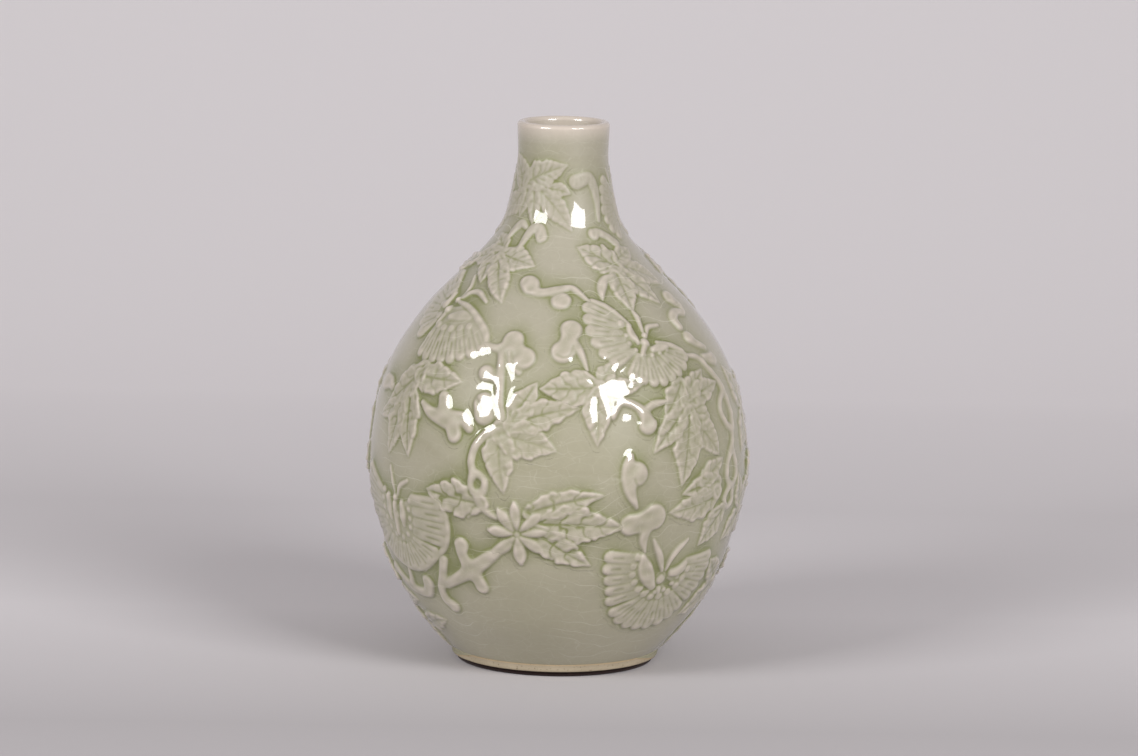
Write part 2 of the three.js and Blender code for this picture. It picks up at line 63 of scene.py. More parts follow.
# The glazed surface is worked out on a lattice, with rows up the outline, this many mm apart, and columns
# round the vase. The relief repeats after half a turn, so only half of the columns are worked out.
ROW = 0.3
COLUMNS = 1440
HALF = COLUMNS // 2
COLUMN_DEG = 360 / COLUMNS
FIRST_DEG = -90

# How far the mesh of a sprig runs out on to the wall, and how far its edge is turned in, in mm
MARGIN = 2.2
SKIRT = 0.4
# How far the wall lies under that edge, so that the two don't fight
UNDER = 0.008
# What the coat of glaze adds to each side of a form
GLAZE_BUILD = 0.4
# The wall is plain between the sprigs, so it takes every fourth row and column, and fewer rows inside
WALL_EVERY = 4
INSIDE_EVERY = 3


def bezier(a, b, c, d, count):
    t = np.linspace(0, 1, count)[:, None]
    a, b, c, d = (np.array(p) for p in (a, b, c, d))
    return a * (1 - t) ** 3 + 3 * b * t * (1 - t) ** 2 + 3 * c * t * t * (1 - t) + d * t ** 3


def run_of(points):
    """How far along its line each point lies."""
    return np.r_[0, np.cumsum(np.linalg.norm(np.diff(points, axis=0), axis=1))]


def wall_rows():
    """Radius, height and outward normal of each lattice row, spaced evenly along the outline."""
    fine = np.concatenate([bezier(*curve, 800) for curve in OUTLINE])
    fine = fine[np.r_[True, np.linalg.norm(np.diff(fine, axis=0), axis=1) > 1e-9]]
    arc = run_of(fine)
    at = np.arange(int(arc[-1] / ROW) + 1) * ROW
    radius, height = np.interp(at, arc, fine[:, 0]), np.interp(at, arc, fine[:, 1])
    along = np.stack([np.gradient(radius, at), np.gradient(height, at)], 1)
    along /= np.linalg.norm(along, axis=1)[:, None]
    return radius, height, np.stack([along[:, 1], -along[:, 0]], 1)


RADIUS, HEIGHT, OUT = wall_rows()
ROWS = len(RADIUS)
ARC = np.arange(ROWS) * ROW


class Sheet:
    """The wall round a few places laid flat: x runs round the vase and y up its outline, both in mm."""

    def __init__(self, places, margin):
        places = np.array(places, float)
        self.middle = places[:, 0].mean()
        arc = self.arc_at(places[:, 1])
        low, high = arc.min() - margin, arc.max() + margin
        self.rows = np.arange(max(0, int(low / ROW)), min(ROWS, int(high / ROW) + 2))
        reach = math.degrees(margin / RADIUS[self.rows].min())
        first = math.floor((places[:, 0].min() - reach - FIRST_DEG) / COLUMN_DEG)
        last = math.ceil((places[:, 0].max() + reach - FIRST_DEG) / COLUMN_DEG)
        self.columns = np.arange(first, last + 1)
        azimuth = FIRST_DEG + self.columns * COLUMN_DEG
        self.x = np.radians(azimuth - self.middle)[None, :] * RADIUS[self.rows][:, None]
        self.y = np.broadcast_to(ARC[self.rows][:, None], self.x.shape)

    @staticmethod
    def arc_at(height):
        return np.interp(height, HEIGHT, ARC)

    def flat(self, azimuth, height):
        arc = self.arc_at(height)
        return np.array([math.radians(azimuth - self.middle) * np.interp(arc, ARC, RADIUS), arc])

    def nearest(self, line):
        """How far along the line the nearest point lies, and how far off the line each place is."""
        along = np.zeros(self.x.shape)
        off = np.full(self.x.shape, np.inf)
        start = 0.0
        for a, b in zip(line[:-1], line[1:]):
            way = b - a
            length = float(np.linalg.norm(way))
            if length < 1e-9:
                continue
            share = np.clip(((self.x - a[0]) * way[0] + (self.y - a[1]) * way[1]) / length ** 2, 0, 1)
            away = np.hypot(self.x - a[0] - share * way[0], self.y - a[1] - share * way[1])
            closer = away < off
            off = np.where(closer, away, off)
            along = np.where(closer, start + share * length, along)
            start += length
        return along, off

    def strip(self, stops):
        """For a strip through stops of azimuth, height and half width: its half width at the nearest
        point of its middle line, and how far off that line each place is."""
        line = smooth_line([[*self.flat(a, z), half] for a, z, half in stops])
        along, off = self.nearest(line[:, :2])
        return np.interp(along, run_of(line[:, :2]), line[:, 2]) + GLAZE_BUILD, off


def smooth_line(stops, steps=8):
    """A curve through the stops, with whatever each stop carries after its place carried along."""
    stops = np.array(stops, float)
    if len(stops) == 2:
        return stops
    closed = np.allclose(stops[0, :2], stops[-1, :2])
    before = stops[-2] if closed else 2 * stops[0] - stops[1]
    after = stops[1] if closed else 2 * stops[-1] - stops[-2]
    ring = np.vstack([before, stops, after])
    line = []
    for p0, p1, p2, p3 in zip(ring[:-3], ring[1:-2], ring[2:-1], ring[3:]):
        for t in np.arange(steps) / steps:
            line.append(0.5 * (2 * p1 + (p2 - p0) * t + (2 * p0 - 5 * p1 + 4 * p2 - p3) * t * t
                               + (3 * p1 - p0 - 3 * p2 + p3) * t ** 3))
    return np.array(line + [stops[-1]])


def rounded(edge, soft):
    """Nought at an edge, rising in a quarter round to one where the edge is soft mm away."""
    return 1 - (1 - np.clip(edge / soft, 0, 1)) ** 2


def ridge(off, half):
    """One on a line, falling away to nothing over about twice its half width."""
    return np.exp(-(off / half) ** 2)


# Each form below returns the places that it spans, its reach beyond them in mm, and a function that gives
# the distance inside its edge and its height over the wall, for each place of a sheet. Its crown is the
# height at its middle, and it is soft over so many mm from its edge.
def strand(*stops, crown=1.5, soft=1.3):
    """A round-backed strip through stops of azimuth, height and half width, lower where it is thin."""
    def press(sheet):
        half, off = sheet.strip(stops)
        lift = crown * np.clip(half / soft, 0.35, 1) * rounded(half - off, np.minimum(soft, half))
        return half - off, lift
    return [s[:2] for s in stops], max(s[2] for s in stops) + GLAZE_BUILD, press


def dot(azimuth, height, radius, **looks):
    """A round form, as a strip of hardly any length."""
    return strand((azimuth - 0.01, height, radius), (azimuth + 0.01, height, radius), **looks)


def bead(azimuth, height, radius, crown=1.6):
    return dot(azimuth, height, radius, crown=crown, soft=radius)


def cells(*places, radius=1.0):
    """The small raised cells of a wing, between its body and its pleats."""
    return [dot(azimuth, height, radius, crown=1.45, soft=0.9) for azimuth, height in places]


def scroll(*lines, crown=1.5, soft=1.4, fillet=0.6):
    """Flat-backed strips and round ends that run together, with the corners between them filled. A line
    of one stop is a round end."""
    def press(sheet):
        total = np.zeros(sheet.x.shape)
        for stops in lines:
            stops = stops if len(stops) > 1 else [stops[0], (stops[0][0] + 0.01, *stops[0][1:])]
            half, off = sheet.strip(stops)
            total += np.exp(np.clip((half - off) / fillet, -40, 40))
        edge = fillet * np.log(total)
        return edge, crown * rounded(edge, soft)
    stops = [stop for line in lines for stop in line]
    return [s[:2] for s in stops], max(s[2] for s in stops) + GLAZE_BUILD + fillet, press


def petal(base, tip, half, crown=1.9):
    """A petal: narrow at its base, fullest past its middle, with a blunt tip."""
    (a, b), (c, d) = base, tip
    stops = [(a + share * (c - a), b + share * (d - b), half * full)
             for share, full in ((0, 0.35), (0.2, 0.72), (0.45, 0.96), (0.7, 0.97), (0.88, 0.7), (1, 0.3))]
    return strand(*stops, crown=crown)


def groove(*places, depth=0.8, half=0.55):
    """A line pressed into whatever was laid before it."""
    def press(sheet):
        line = smooth_line([[*sheet.flat(a, z)] for a, z in places])
        return None, depth * ridge(sheet.nearest(line)[1], half)
    return list(places), 2 * half, press


def leaf(base, tip, width, lobes=3, bend=0.0, crown=1.5, cut=0.1):
    """A leaf with a midrib and side veins pressed in, a swelling lobe between each two veins, and a
    raised rim. Its edge is cut in at the end of each side vein by a share of the blade."""
    def press(sheet):
        root, point = sheet.flat(*base), sheet.flat(*tip)
        axis = point - root
        middle = (root + point) / 2 + bend * np.array([-axis[1], axis[0]])
        line = bezier(root, (root + 2 * middle) / 3, (point + 2 * middle) / 3, point, 14)
        along, off = sheet.nearest(line)
        length = run_of(line)[-1]
        share = along / length
        blade = 0.56 * width * np.sin(np.pi * (0.1 + 0.9 * share) ** 0.8) + GLAZE_BUILD
        # Side veins leave the midrib at an even pitch, a little unsteady, and slant towards the tip
        pitch = length / (lobes + 0.35)
        sway = 0.1 * np.sin(1.1 * sheet.x - 0.8 * sheet.y) + 0.08 * np.sin(0.7 * sheet.x + 1.3 * sheet.y)
        step = (along - 0.85 * off) / pitch + sway
        swell = np.abs(np.sin(np.pi * step)) ** 0.7
        slant = 0.76
        from_vein = np.abs(step - np.rint(step)) * pitch * slant
        from_fold = np.abs(step - np.floor(step) - 0.5) * pitch * slant
        fades = np.clip((1 - share) / 0.22, 0, 1)
        uneven = 0.07 * np.sin(0.9 * sheet.x + 0.7 * sheet.y)
        edge = blade * (1 - cut * fades * (1 - swell) + uneven) - off
        # The face rises from the midrib to the rim, swells in each lobe, and is slightly crumpled
        rim = np.clip(off / np.maximum(blade, 0.5), 0, 1)
        crumple = (np.sin(1.9 * sheet.x + 0.6 * sheet.y) + np.sin(1.7 * sheet.y - 1.1 * sheet.x)
                   + np.sin(0.8 * sheet.x - 2.3 * sheet.y))
        lobe = 2 * cut * (swell - 0.3) * fades
        face = 0.44 + 0.52 * rim ** 1.4 + lobe * rim ** 0.5 + 0.06 * crumple * rim ** 0.3
        midrib = 0.3 * ridge(off, 0.5) * np.clip((1 - share) / 0.2, 0, 1)
        side_veins = (0.16 + cut) * ridge(from_vein, 0.5) * fades * (1 - 0.4 * rim)
        folds = 0.13 * ridge(from_fold, 0.4) * fades * np.clip(rim * 2.4 - 0.8, 0, 1)
        veins = np.maximum(midrib, np.maximum(side_veins, folds))
        return edge, crown * rounded(edge, 0.9) * (face - veins)
    return [base, tip], 0.56 * width + GLAZE_BUILD, press


def rib(base, tip, half_base, half_tip, crown=1.45):
    """One pleat of a wing: a flat-backed strip that widens and rises to a round end, with a slot near it
    where it is wide enough."""
    def press(sheet):
        line = np.array([sheet.flat(*base), sheet.flat(*tip)])
        along, off = sheet.nearest(line)
        share = along / np.linalg.norm(line[1] - line[0])
        half = half_base + (half_tip - half_base) * share
        back = np.clip(1 - (off / np.maximum(half, 0.3)) ** 4, 0, 1) ** 0.6
        ends = np.clip((share - 0.35) / 0.1, 0, 1) * np.clip((0.97 - share) / 0.1, 0, 1)
        slot = 0.5 * ridge(off, 0.5) * ends * (half_tip > 1)
        return half - off, crown * (0.72 + 0.28 * share) * back - slot
    return [base, tip], max(half_base, half_tip), press


def web(*places, crown=0.9):
    """The low ground of a wing between its pleats, cells and body."""
    def press(sheet):
        line = np.array([sheet.flat(*place) for place in places + places[:1]])
        off = sheet.nearest(line)[1]
        inside = np.zeros(sheet.x.shape, bool)
        for a, b in zip(line[:-1], line[1:]):
            if abs(b[1] - a[1]) > 1e-9:
                crossing = a[0] + (sheet.y - a[1]) / (b[1] - a[1]) * (b[0] - a[0])
                inside ^= ((a[1] > sheet.y) != (b[1] > sheet.y)) & (sheet.x < crossing)
        edge = np.where(inside, off, -off)
        return edge, crown * rounded(edge + 0.3, 1.2)
    return list(places), 0.3, press


def places_along(line, count):
    """The middles of so many even shares of a line of azimuths and heights, and a share's width in mm."""
    sheet = Sheet(line, 0)
    passed = run_of([sheet.flat(*place) for place in line])
    at = (np.arange(count) + 0.5) / count * passed[-1]
    places = [tuple(np.interp(a, passed, [p[k] for p in line]) for k in (0, 1)) for a in at]
    return places, passed[-1] / count


def fan(hub, inner, outer, count, hem=0.9):
    """Part of a wing: pleats side by side from its inner line to its outer edge, a little wider than
    their shares so that they touch, and the low ground in to its hub, which reaches out to a share of the
    pleats' length."""
    starts, base_width = places_along(inner, count)
    ends, tip_width = places_along(outer, count)
    hem_line = [(a + hem * (c - a), b + hem * (d - b)) for (a, b), (c, d) in zip(starts, ends)]
    ribs = [rib(a, b, 0.56 * base_width, 0.55 * tip_width) for a, b in zip(starts, ends)]
    return [web(hub, *hem_line, crown=0.65), *ribs]


NECK_BUTTERFLY_DEG = 77


def neck_wing(side):
    """A wing and a feeler of the small butterfly on the neck, to the left or the right of its body."""
    def at(away, height, *half):
        return (NECK_BUTTERFLY_DEG + side * away, height, *half)
    return [*fan(at(1, 169), [at(5, 176), at(8, 172), at(8, 167), at(5, 163)],
                 [at(17, 181), at(24, 176.6), at(25.6, 169), at(21, 163), at(11, 159.4)], 7),
            strand(at(3.6, 172.6, 0.8), at(4.4, 169, 1.1), at(3, 166, 0.7), crown=1.8),
            strand(at(1.4, 174.6, 0.35), at(5, 179.4, 0.6), at(11, 183.4, 0.35))]


# The pressed relief of the front, as azimuth from the front in degrees and height in mm
RELIEF = {
    "butterfly_lower_right": [
        *fan((36, 41), [(25.5, 50.8), (23.6, 46.5), (24.2, 41.5), (27, 37), (29.6, 34.4)],
             [(17.6, 52.4), (16.8, 47), (18.2, 41), (19.4, 36), (20.4, 31)], 5, hem=1.0),
        *fan((37, 40), [(29.6, 34.4), (33, 31.6), (37, 31), (41, 32), (44.4, 35)],
             [(20.8, 30), (25.6, 25), (31, 22.4), (37, 21.6), (43.4, 22.2), (49, 24.8), (53.4, 29)], 8,
             hem=1.0),
        *fan((38, 41), [(44.4, 35), (47, 39), (48, 43), (46.5, 47)],
             [(53.8, 29.6), (56.8, 34.6), (58.6, 40), (58.8, 44.6), (57.4, 48)], 5, hem=1.0),
        strand((28.2, 49.4, 1.4), (29.4, 45.8, 2.8), (31.4, 41.6, 2.9), (34, 37.8, 1.5), crown=1.9),
        strand((40.8, 42.4, 1.4), (44, 42.8, 2.0), (46.2, 45.2, 1.2), crown=1.8),
        *cells((26.4, 49.6), (25.2, 46.4), (25.3, 43.2), (26.6, 40.2), (28.6, 37.4), (31.4, 35.2),
               (34.8, 33.8), (38.4, 33.6), (41.8, 34.8), (44.6, 37), (46.6, 39.8), (47.8, 43),
               radius=1.4),
        *cells((29.8, 37.6), (32.6, 36), (36, 35.6), (39.6, 36), (42.6, 38), (44.2, 40.4), radius=0.9),
        bead(36.7, 40.4, 2.9, crown=1.7),
        groove((38.9, 40.4), (36.7, 42.6), (34.5, 40.4), (36.7, 38.2), (38.9, 40.4), depth=0.6, half=0.4),
        strand((37, 36.8, 1.1), (37.6, 34.6, 0.7), crown=1.8),
        strand((36.6, 43.6, 0.5), (35.2, 48, 1.3), (33, 52.4, 1.1), (31.4, 55.6, 0.4)),
        strand((38.2, 43.8, 0.5), (39.4, 47.5, 1.1), (42, 51, 1.2), (45.4, 54, 0.5)),
    ],
    "butterfly_lower_left": [
        web((-49, 67), (-49, 54), (-53, 50), (-60, 49), (-66, 53), (-67.4, 60), (-65.6, 67), (-58, 63),
            crown=0.65),
        *fan((-57, 60), [(-49.6, 68.4), (-48.2, 62), (-48.6, 56), (-50, 52.5)],
             [(-40, 68.6), (-37.2, 65), (-36.4, 60.4), (-36.8, 55), (-39, 50.8)], 4, hem=1.05),
        *fan((-58, 58), [(-50, 52.5), (-52.6, 49.4), (-56, 48)],
             [(-40.6, 49.8), (-44, 46), (-47.6, 43.4), (-51, 41.8), (-56, 41)], 4, hem=1.05),
        *fan((-59, 58), [(-56, 48), (-61, 48.4), (-65, 51)],
             [(-56.4, 41), (-61, 42), (-66, 43.6), (-70.4, 46.4)], 4, hem=1.05),
        *fan((-60, 60), [(-65, 51), (-67.6, 56), (-68, 62), (-66, 68.4)],
             [(-71, 47), (-75.6, 51), (-78.4, 57), (-79.6, 64), (-78.4, 70), (-74.6, 74.6)], 6, hem=1.05),
        strand((-41.4, 70.4, 0.6), (-36.8, 66.4, 1.0), (-35.4, 60.6, 1.1), (-35.9, 54.8, 1.1),
               (-38.2, 50, 1.1), (-43.2, 45.2, 1.1), (-47.1, 42.4, 1.1), (-51, 40.8, 1.1), (-56, 40, 1.1),
               (-61.2, 41, 1.1), (-66.4, 42.7, 1.1), (-71.4, 46, 0.9), crown=1.4),
        strand((-54.7, 64.4, 1.1), (-54.4, 60.4, 1.9), (-54.9, 56.2, 0.9), crown=1.9),
        strand((-62, 66, 1.1), (-62.2, 62, 1.9), (-61.8, 57.6, 0.9), crown=1.9),
        *cells((-50.4, 66), (-51.2, 62.6), (-51.2, 59.2), (-51.6, 55.8), (-53.6, 53), (-56.8, 51.4),
               (-60.6, 51.8), (-63.6, 54), (-65.4, 57.2), (-66, 60.8), (-66, 64.4), (-64.8, 67.6)),
        bead(-58.4, 59.6, 2.1, crown=2.2),
        bead(-57.8, 66, 1.2, crown=2.1),
        strand((-58.3, 64, 1.0), (-58.6, 57, 1.4), (-58.8, 52.4, 0.9), crown=2.1),
        strand((-58, 66.6, 0.35), (-59.2, 71, 0.6), (-60.8, 76.6, 0.45)),
        strand((-56.6, 66.8, 0.35), (-55.4, 70.4, 0.75), (-51.6, 73, 0.45)),
    ],
    "butterfly_upper_left": [
        *fan((-56, 131),
             [(-36.4, 130.6), (-39.4, 128.6), (-42.8, 127.6), (-46, 126.6), (-50, 126.2), (-55, 126.3),
              (-59.6, 127)],
             [(-28.6, 124.4), (-31, 122.2), (-34.6, 120.7), (-38, 119.6), (-42, 118.2), (-46, 117.7),
              (-51, 117.4), (-56.6, 117.7), (-60.6, 119.6)], 8),
        web((-60, 128), (-58, 134), (-50, 135), (-40, 132.6), (-35, 130), (-44, 126.4), (-55, 126)),
        strand((-54, 136, 0.7), (-48.2, 135.4, 1.1), (-42, 133.8, 1.2), (-36.4, 131.2, 1.4),
               (-31, 127.8, 1.4), (-28.8, 124.4, 1.0)),
        *fan((-58, 133), [(-60.4, 128), (-65, 131), (-67, 135.5), (-65.4, 140.4)],
             [(-64, 123.4), (-70, 127.4), (-76, 131.4), (-79.4, 137), (-78, 142.4), (-72, 144.6)], 6),
        strand((-52.4, 131, 1.5), (-46.8, 131.9, 2.4), (-41.4, 131.6, 1.2)),
        strand((-61.8, 134, 1.5), (-62.2, 138, 1.1), crown=1.7),
        *cells((-39.4, 129), (-43.6, 128), (-48, 127.3), (-52.4, 127.2), (-56.6, 127.8), (-61, 130.6),
               (-64.4, 134.4), (-64.2, 138.4), radius=1.5),
        bead(-57.3, 133, 2.0, crown=2.0),
        bead(-55.8, 136.5, 1.2, crown=1.9),
        strand((-57.5, 131, 1.2), (-58, 127.9, 0.8), crown=1.8),
        strand((-55, 137.4, 0.4), (-54.4, 141, 0.6), (-58.6, 144.8, 0.45)),
        strand((-54, 137.5, 0.5), (-50.5, 139.7, 0.95), (-45, 139.9, 0.95), (-37.8, 137.5, 0.35)),
    ],
    "butterfly_upper_right": [
        *fan((33, 127), [(25, 134.2), (24.6, 130.8), (24.8, 127.4), (26, 124.4), (28.6, 121.6)],
             [(14, 138.8), (12.8, 134.6), (13, 130), (14.6, 126), (17.4, 121.8), (22, 118)], 6),
        *fan((34, 125), [(28.6, 121.6), (33, 119.2), (38, 119.6), (42, 120.7), (44.6, 122)],
             [(24.4, 116.6), (27.6, 114), (32, 112.4), (37, 112.2), (42, 113.4), (47, 115.8),
              (50.2, 118.2), (50.6, 121)], 8),
        strand((15.6, 139.2, 1.1), (21, 137.6, 1.2), (26, 134.6, 1.1), (30.2, 131, 0.7)),
        strand((40, 124.6, 1.0), (46, 123.2, 1.2), (50.4, 121, 1.0)),
        strand((29.2, 131, 0.9), (29.6, 128, 1.6), (31, 125.2, 0.8), crown=1.9),
        strand((36.4, 122.6, 1.1), (40, 123, 1.6), (43.4, 123, 0.8), crown=1.9),
        bead(26.2, 131.6, 1.7, crown=1.9),
        *cells((26.8, 127.8), (27.3, 125.2), (29.2, 123), (32, 121.3), (35.4, 120.9), (39, 121.4),
               (42.6, 122), radius=0.8),
        bead(34, 125, 1.9, crown=2.2),
        bead(35.2, 127.3, 1.1, crown=2.1),
        strand((33.2, 123.6, 1.1), (31, 121, 0.7), crown=2.0),
        strand((35, 128, 0.4), (35.5, 132, 0.85), (34.8, 135.6, 0.35)),
        strand((36.4, 127.6, 0.4), (38.6, 130, 0.85), (44.6, 130.4, 0.4)),
    ],
    "butterfly_neck": [
        *neck_wing(-1),
        *neck_wing(1),
        strand((77, 174, 0.9), (77, 169, 1.2), (77, 163.4, 0.6), crown=2.1),
    ],
    "flower_spray": [
        leaf((-8.6, 66.8), (13.6, 73.4), 8.6, bend=0.06, cut=0.22),
        leaf((-5.4, 62.6), (20.8, 61), 13, lobes=4, bend=0.04, cut=0.22),
        leaf((-6.6, 60.2), (10.8, 47.2), 10.4, bend=-0.06, cut=0.22),
        petal((-13.4, 60.2), (-17.6, 67.4), 2.1),
        petal((-12, 60.6), (-12.8, 70.2), 1.9),
        petal((-10.8, 60.2), (-4.8, 66.6), 1.9, crown=2.0),
        petal((-10.2, 58.9), (-2.8, 59.9), 1.7, crown=2.0),
        petal((-10.8, 57.4), (-4, 52.4), 2.1),
        petal((-11.9, 56.8), (-11.1, 47.6), 2.2),
        strand((-13.2, 57, 0.8), (-16, 53.8, 2.1), (-20, 50.6, 1.5)),
        petal((-13.8, 58.8), (-20.8, 59.6), 2.1),
        bead(-12, 58.6, 1.2, crown=1.25),
    ],
    "leaf_spray_centre": [
        leaf((-18.4, 96.4), (-15.8, 73.2), 10.4, bend=-0.04),
        leaf((-17.6, 93.8), (-0.6, 89.2), 12.6, lobes=4, bend=0.06),
        leaf((-14.6, 97.4), (6.6, 104.2), 10.4, lobes=4, bend=0.1),
        leaf((-14.4, 99.4), (-7.4, 112.6), 9, lobes=2),
        scroll([(-21.4, 95, 1.6), (-25, 90, 1.4), (-26.1, 84, 1.3), (-25, 79.6, 1.3)],
               [(-23.8, 80, 1.1), (-21.6, 77.6, 1.1), (-22, 73.8, 1.2), (-24.2, 72.4, 1.1),
                (-25.9, 75.4, 1.1), (-25.4, 78.8, 1.1), (-23.8, 80, 1.1)],
               [(-23.4, 72.8, 1.5), (-23.2, 69.6, 1.7), (-20.8, 66, 1.2), (-18.4, 64.4, 0.9)]),
        leaf((-23.4, 69.4), (-42.8, 71.8), 12.6, bend=0.03, cut=0.22),
    ],
    "leaf_spray_left": [
        leaf((-53.4, 110.6), (-34, 111), 10.8),
        leaf((-52.6, 113.6), (-68, 98.4), 11.6, lobes=4, bend=0.12),
        leaf((-55, 105), (-51.4, 82), 11.4),
        leaf((-58.4, 101), (-62.4, 81.4), 10, bend=0.05),
        leaf((-60, 99.6), (-72.4, 93.6), 6.4, lobes=2),
        strand((-68.4, 104.4, 1.4), (-71, 105.4, 2.2), (-75.4, 105, 3.1)),
    ],
    "leaf_spray_high": [
        leaf((12.6, 111), (-6.2, 110.6), 12.4, lobes=4),
        leaf((12.4, 109.4), (11.8, 91), 9),
        leaf((14.2, 112.4), (19.4, 119.6), 6.6, lobes=2),
        leaf((15, 110.4), (28.8, 111.6), 6.2),
    ],
    "leaf_spray_right": [
        leaf((44, 110.6), (35, 99.8), 8.6, bend=0.06),
        leaf((43.6, 101.6), (30, 87.8), 8.8, bend=-0.05),
        leaf((45, 100), (40, 74.8), 12.6, lobes=4),
        leaf((46.6, 101), (55.6, 93.2), 8.6),
        leaf((47.4, 97.4), (57.4, 83.6), 10.4),
        leaf((46.4, 104.6), (63.8, 108.8), 8, bend=0.06),
        leaf((45.2, 106), (57.2, 114), 7.6),
    ],
    "leaf_spray_low_right": [
        leaf((56.4, 74), (40.6, 71.6), 8.4, bend=-0.08),
        leaf((55, 68.4), (36, 65.4), 10.6, lobes=4, bend=0.05),
        leaf((48.4, 75.2), (59.4, 82.2), 7.6),
        strand((54, 71.6, 0.9), (56.4, 72.4, 1.0), (57.8, 70, 1.0), (55.8, 68, 1.0), (54, 71.6, 0.9)),
        leaf((60.6, 62.6), (51.2, 50.8), 10.4, lobes=4, bend=-0.04),
    ],
    "leaf_spray_shoulder_left": [
        leaf((-46.6, 153), (-18, 150.2), 9.6, lobes=4, bend=0.04),
        leaf((-47.4, 151.8), (-29.2, 137.8), 8.4, lobes=4, bend=-0.06),
        leaf((-58.6, 152), (-50, 143.2), 7),
        leaf((-52.4, 153.6), (-78, 149.6), 8.4, lobes=4),
        leaf((-74, 150), (-95, 144.6), 8.4, crown=2.2),
        leaf((-50, 155), (-68, 160), 6.4),
        strand((-35.4, 155, 0.8), (-33.6, 159.4, 1.3), (-29, 162.8, 1.7), (-22.6, 163, 2.0),
               (-18.2, 160.4, 1.9)),
        strand((-36.4, 163.4, 0.7), (-43, 164.4, 1.4), (-50, 162, 1.3), (-52.6, 158.4, 0.7)),
    ],
    "leaf_spray_shoulder_right": [
        leaf((38, 149.8), (13, 157.2), 11, bend=-0.05, cut=0.2),
        strand((32.2, 147, 0.8), (26, 145.7, 1.6), (22.4, 142.9, 1.5), (21.2, 139.8, 0.4)),
        leaf((36, 148.4), (34.9, 135.4), 9.4),
        leaf((40.8, 147), (54.4, 136.9), 8.6),
        leaf((46, 149.4), (68.4, 142.6), 9.6, lobes=4, bend=0.08),
        leaf((43, 152.4), (64, 155.4), 6.6),
        strand((35.2, 135.2, 0.4), (35.7, 133, 0.9), (35, 130.8, 0.3)),
        strand((30.4, 161.4, 2.0), (36, 161.8, 1.5), (45, 160.2, 1.3), (51, 157.6, 1.6)),
    ],
    "leaf_spray_neck": [
        leaf((-47, 178.6), (5.4, 185.6), 9.4, lobes=6, bend=0.05),
        leaf((-24, 175.6), (9.4, 163), 7.4, lobes=5, bend=0.05),
        leaf((-14, 176.8), (8.4, 175.4), 4.6, bend=0.12),
        leaf((-34, 176.4), (-31.4, 164.6), 5.4),
        leaf((-44, 176), (-50, 166.6), 4.6),
        leaf((-52, 177), (-79, 188.6), 8.2, lobes=4, bend=-0.08),
        leaf((-52, 174.6), (-79, 166), 7.8, lobes=4, bend=0.05),
    ],
    "leaf_spray_side": [
        leaf((81, 98), (74, 113), 8.4),
        leaf((83, 98), (93, 109), 9),
        leaf((81, 95), (75, 81.4), 9.4),
        leaf((83, 95), (90.6, 78.6), 9.8),
        bead(82, 96.5, 2.2),
    ],
    "leaf_spray_low_side": [
        leaf((77, 62), (86.4, 72), 8.6),
        leaf((84, 69), (94, 81), 8, crown=2.4),
        leaf((75.4, 62), (71.4, 74.4), 8),
        leaf((77, 59), (88, 50), 9.4),
        leaf((75, 59), (66, 50.4), 8.6),
        bead(76, 60.5, 2.2),
    ],
    "leaf_spray_foot": [
        leaf((72, 34), (57, 23), 10, bend=0.06),
        leaf((70.6, 36), (61.4, 44), 8.4),
        leaf((73, 33), (85, 24.6), 8.8),
        leaf((86, 22), (77, 5.4), 7, crown=1.4),
        bead(72, 34, 2.0),
    ],
    "scroll_shoulder": [
        scroll([(-17.6, 144.4, 3.5)], [(0.2, 139.4, 3.5)],
               [(-17, 142.8, 2.2), (-10.8, 141.8, 1.6), (-3.2, 142.6, 1.6), (3, 143.4, 1.3),
                (7.4, 143, 1.1), (14.2, 139, 0.4)]),
        groove((-4.6, 140.4), (-1, 141.4), (3, 141.7), (5, 140.6), depth=0.4, half=0.45),
    ],
    "scroll_middle": [
        scroll([(4.6, 130.2, 3.8)], [(1, 122.8, 4.0)], [(4.4, 129, 2.4), (2.2, 124.4, 2.6)],
               [(3, 127, 1.6), (6.4, 124.6, 1.5), (8.6, 120.6, 0.9), (9.6, 117, 0.35)]),
        groove((-0.8, 121.8), (1.6, 120.9), (4, 122.2), (4.9, 124.6), depth=0.5, half=0.45),
    ],
    "scroll_stem": [
        scroll([(-18.2, 126.1, 3.7)], [(-12.8, 120.4, 3.9)], [(-17.8, 125.6, 2.2), (-13.4, 121, 2.2)],
               [(-29, 124, 1.3), (-24.2, 123.2, 1.3), (-20, 123.6, 1.4)],
               [(-18.4, 121.8, 0.8), (-17.2, 117.8, 0.9), (-14, 115.6, 0.7)],
               [(-21.8, 123.4, 1.3), (-21, 119, 1.3), (-20, 112, 1.4), (-19.4, 106, 1.6),
                (-18, 100, 1.8)], [(-25.6, 114.8, 2.8)], [(-21.4, 112.8, 1.2), (-25.6, 114.8, 1.2)],
               [(-24.2, 104.4, 4.0)], [(-23.6, 100.8, 3.8)]),
        groove((-27, 105.8), (-26, 104.2), (-25.2, 102.4), depth=0.9, half=0.8),
        groove((-21.4, 109.4), (-21.6, 106.6), (-20.4, 103.4), depth=0.7, half=0.5),
    ],
    "scroll_left": [
        scroll([(-48, 102, 0.8), (-43.6, 99.2, 1.9), (-38.8, 97.8, 2.5), (-34.8, 96.4, 2.8),
                (-33, 92.6, 2.7)], [(-39.4, 105, 2.2), (-38, 100, 2.3)],
               [(-36, 98.2, 2.4), (-30.6, 98.4, 2.2), (-28, 95.4, 1.4)], fillet=0.9),
    ],
    "scroll_right": [
        scroll([(17, 101, 0.9), (20, 105.8, 1.3), (25, 104.5, 1.4), (27.7, 100.8, 2.1), (28.5, 98, 3.6)],
               [(28, 102.6, 1.0), (31.6, 104.6, 1.2), (37.2, 105.2, 0.4)]),
    ],
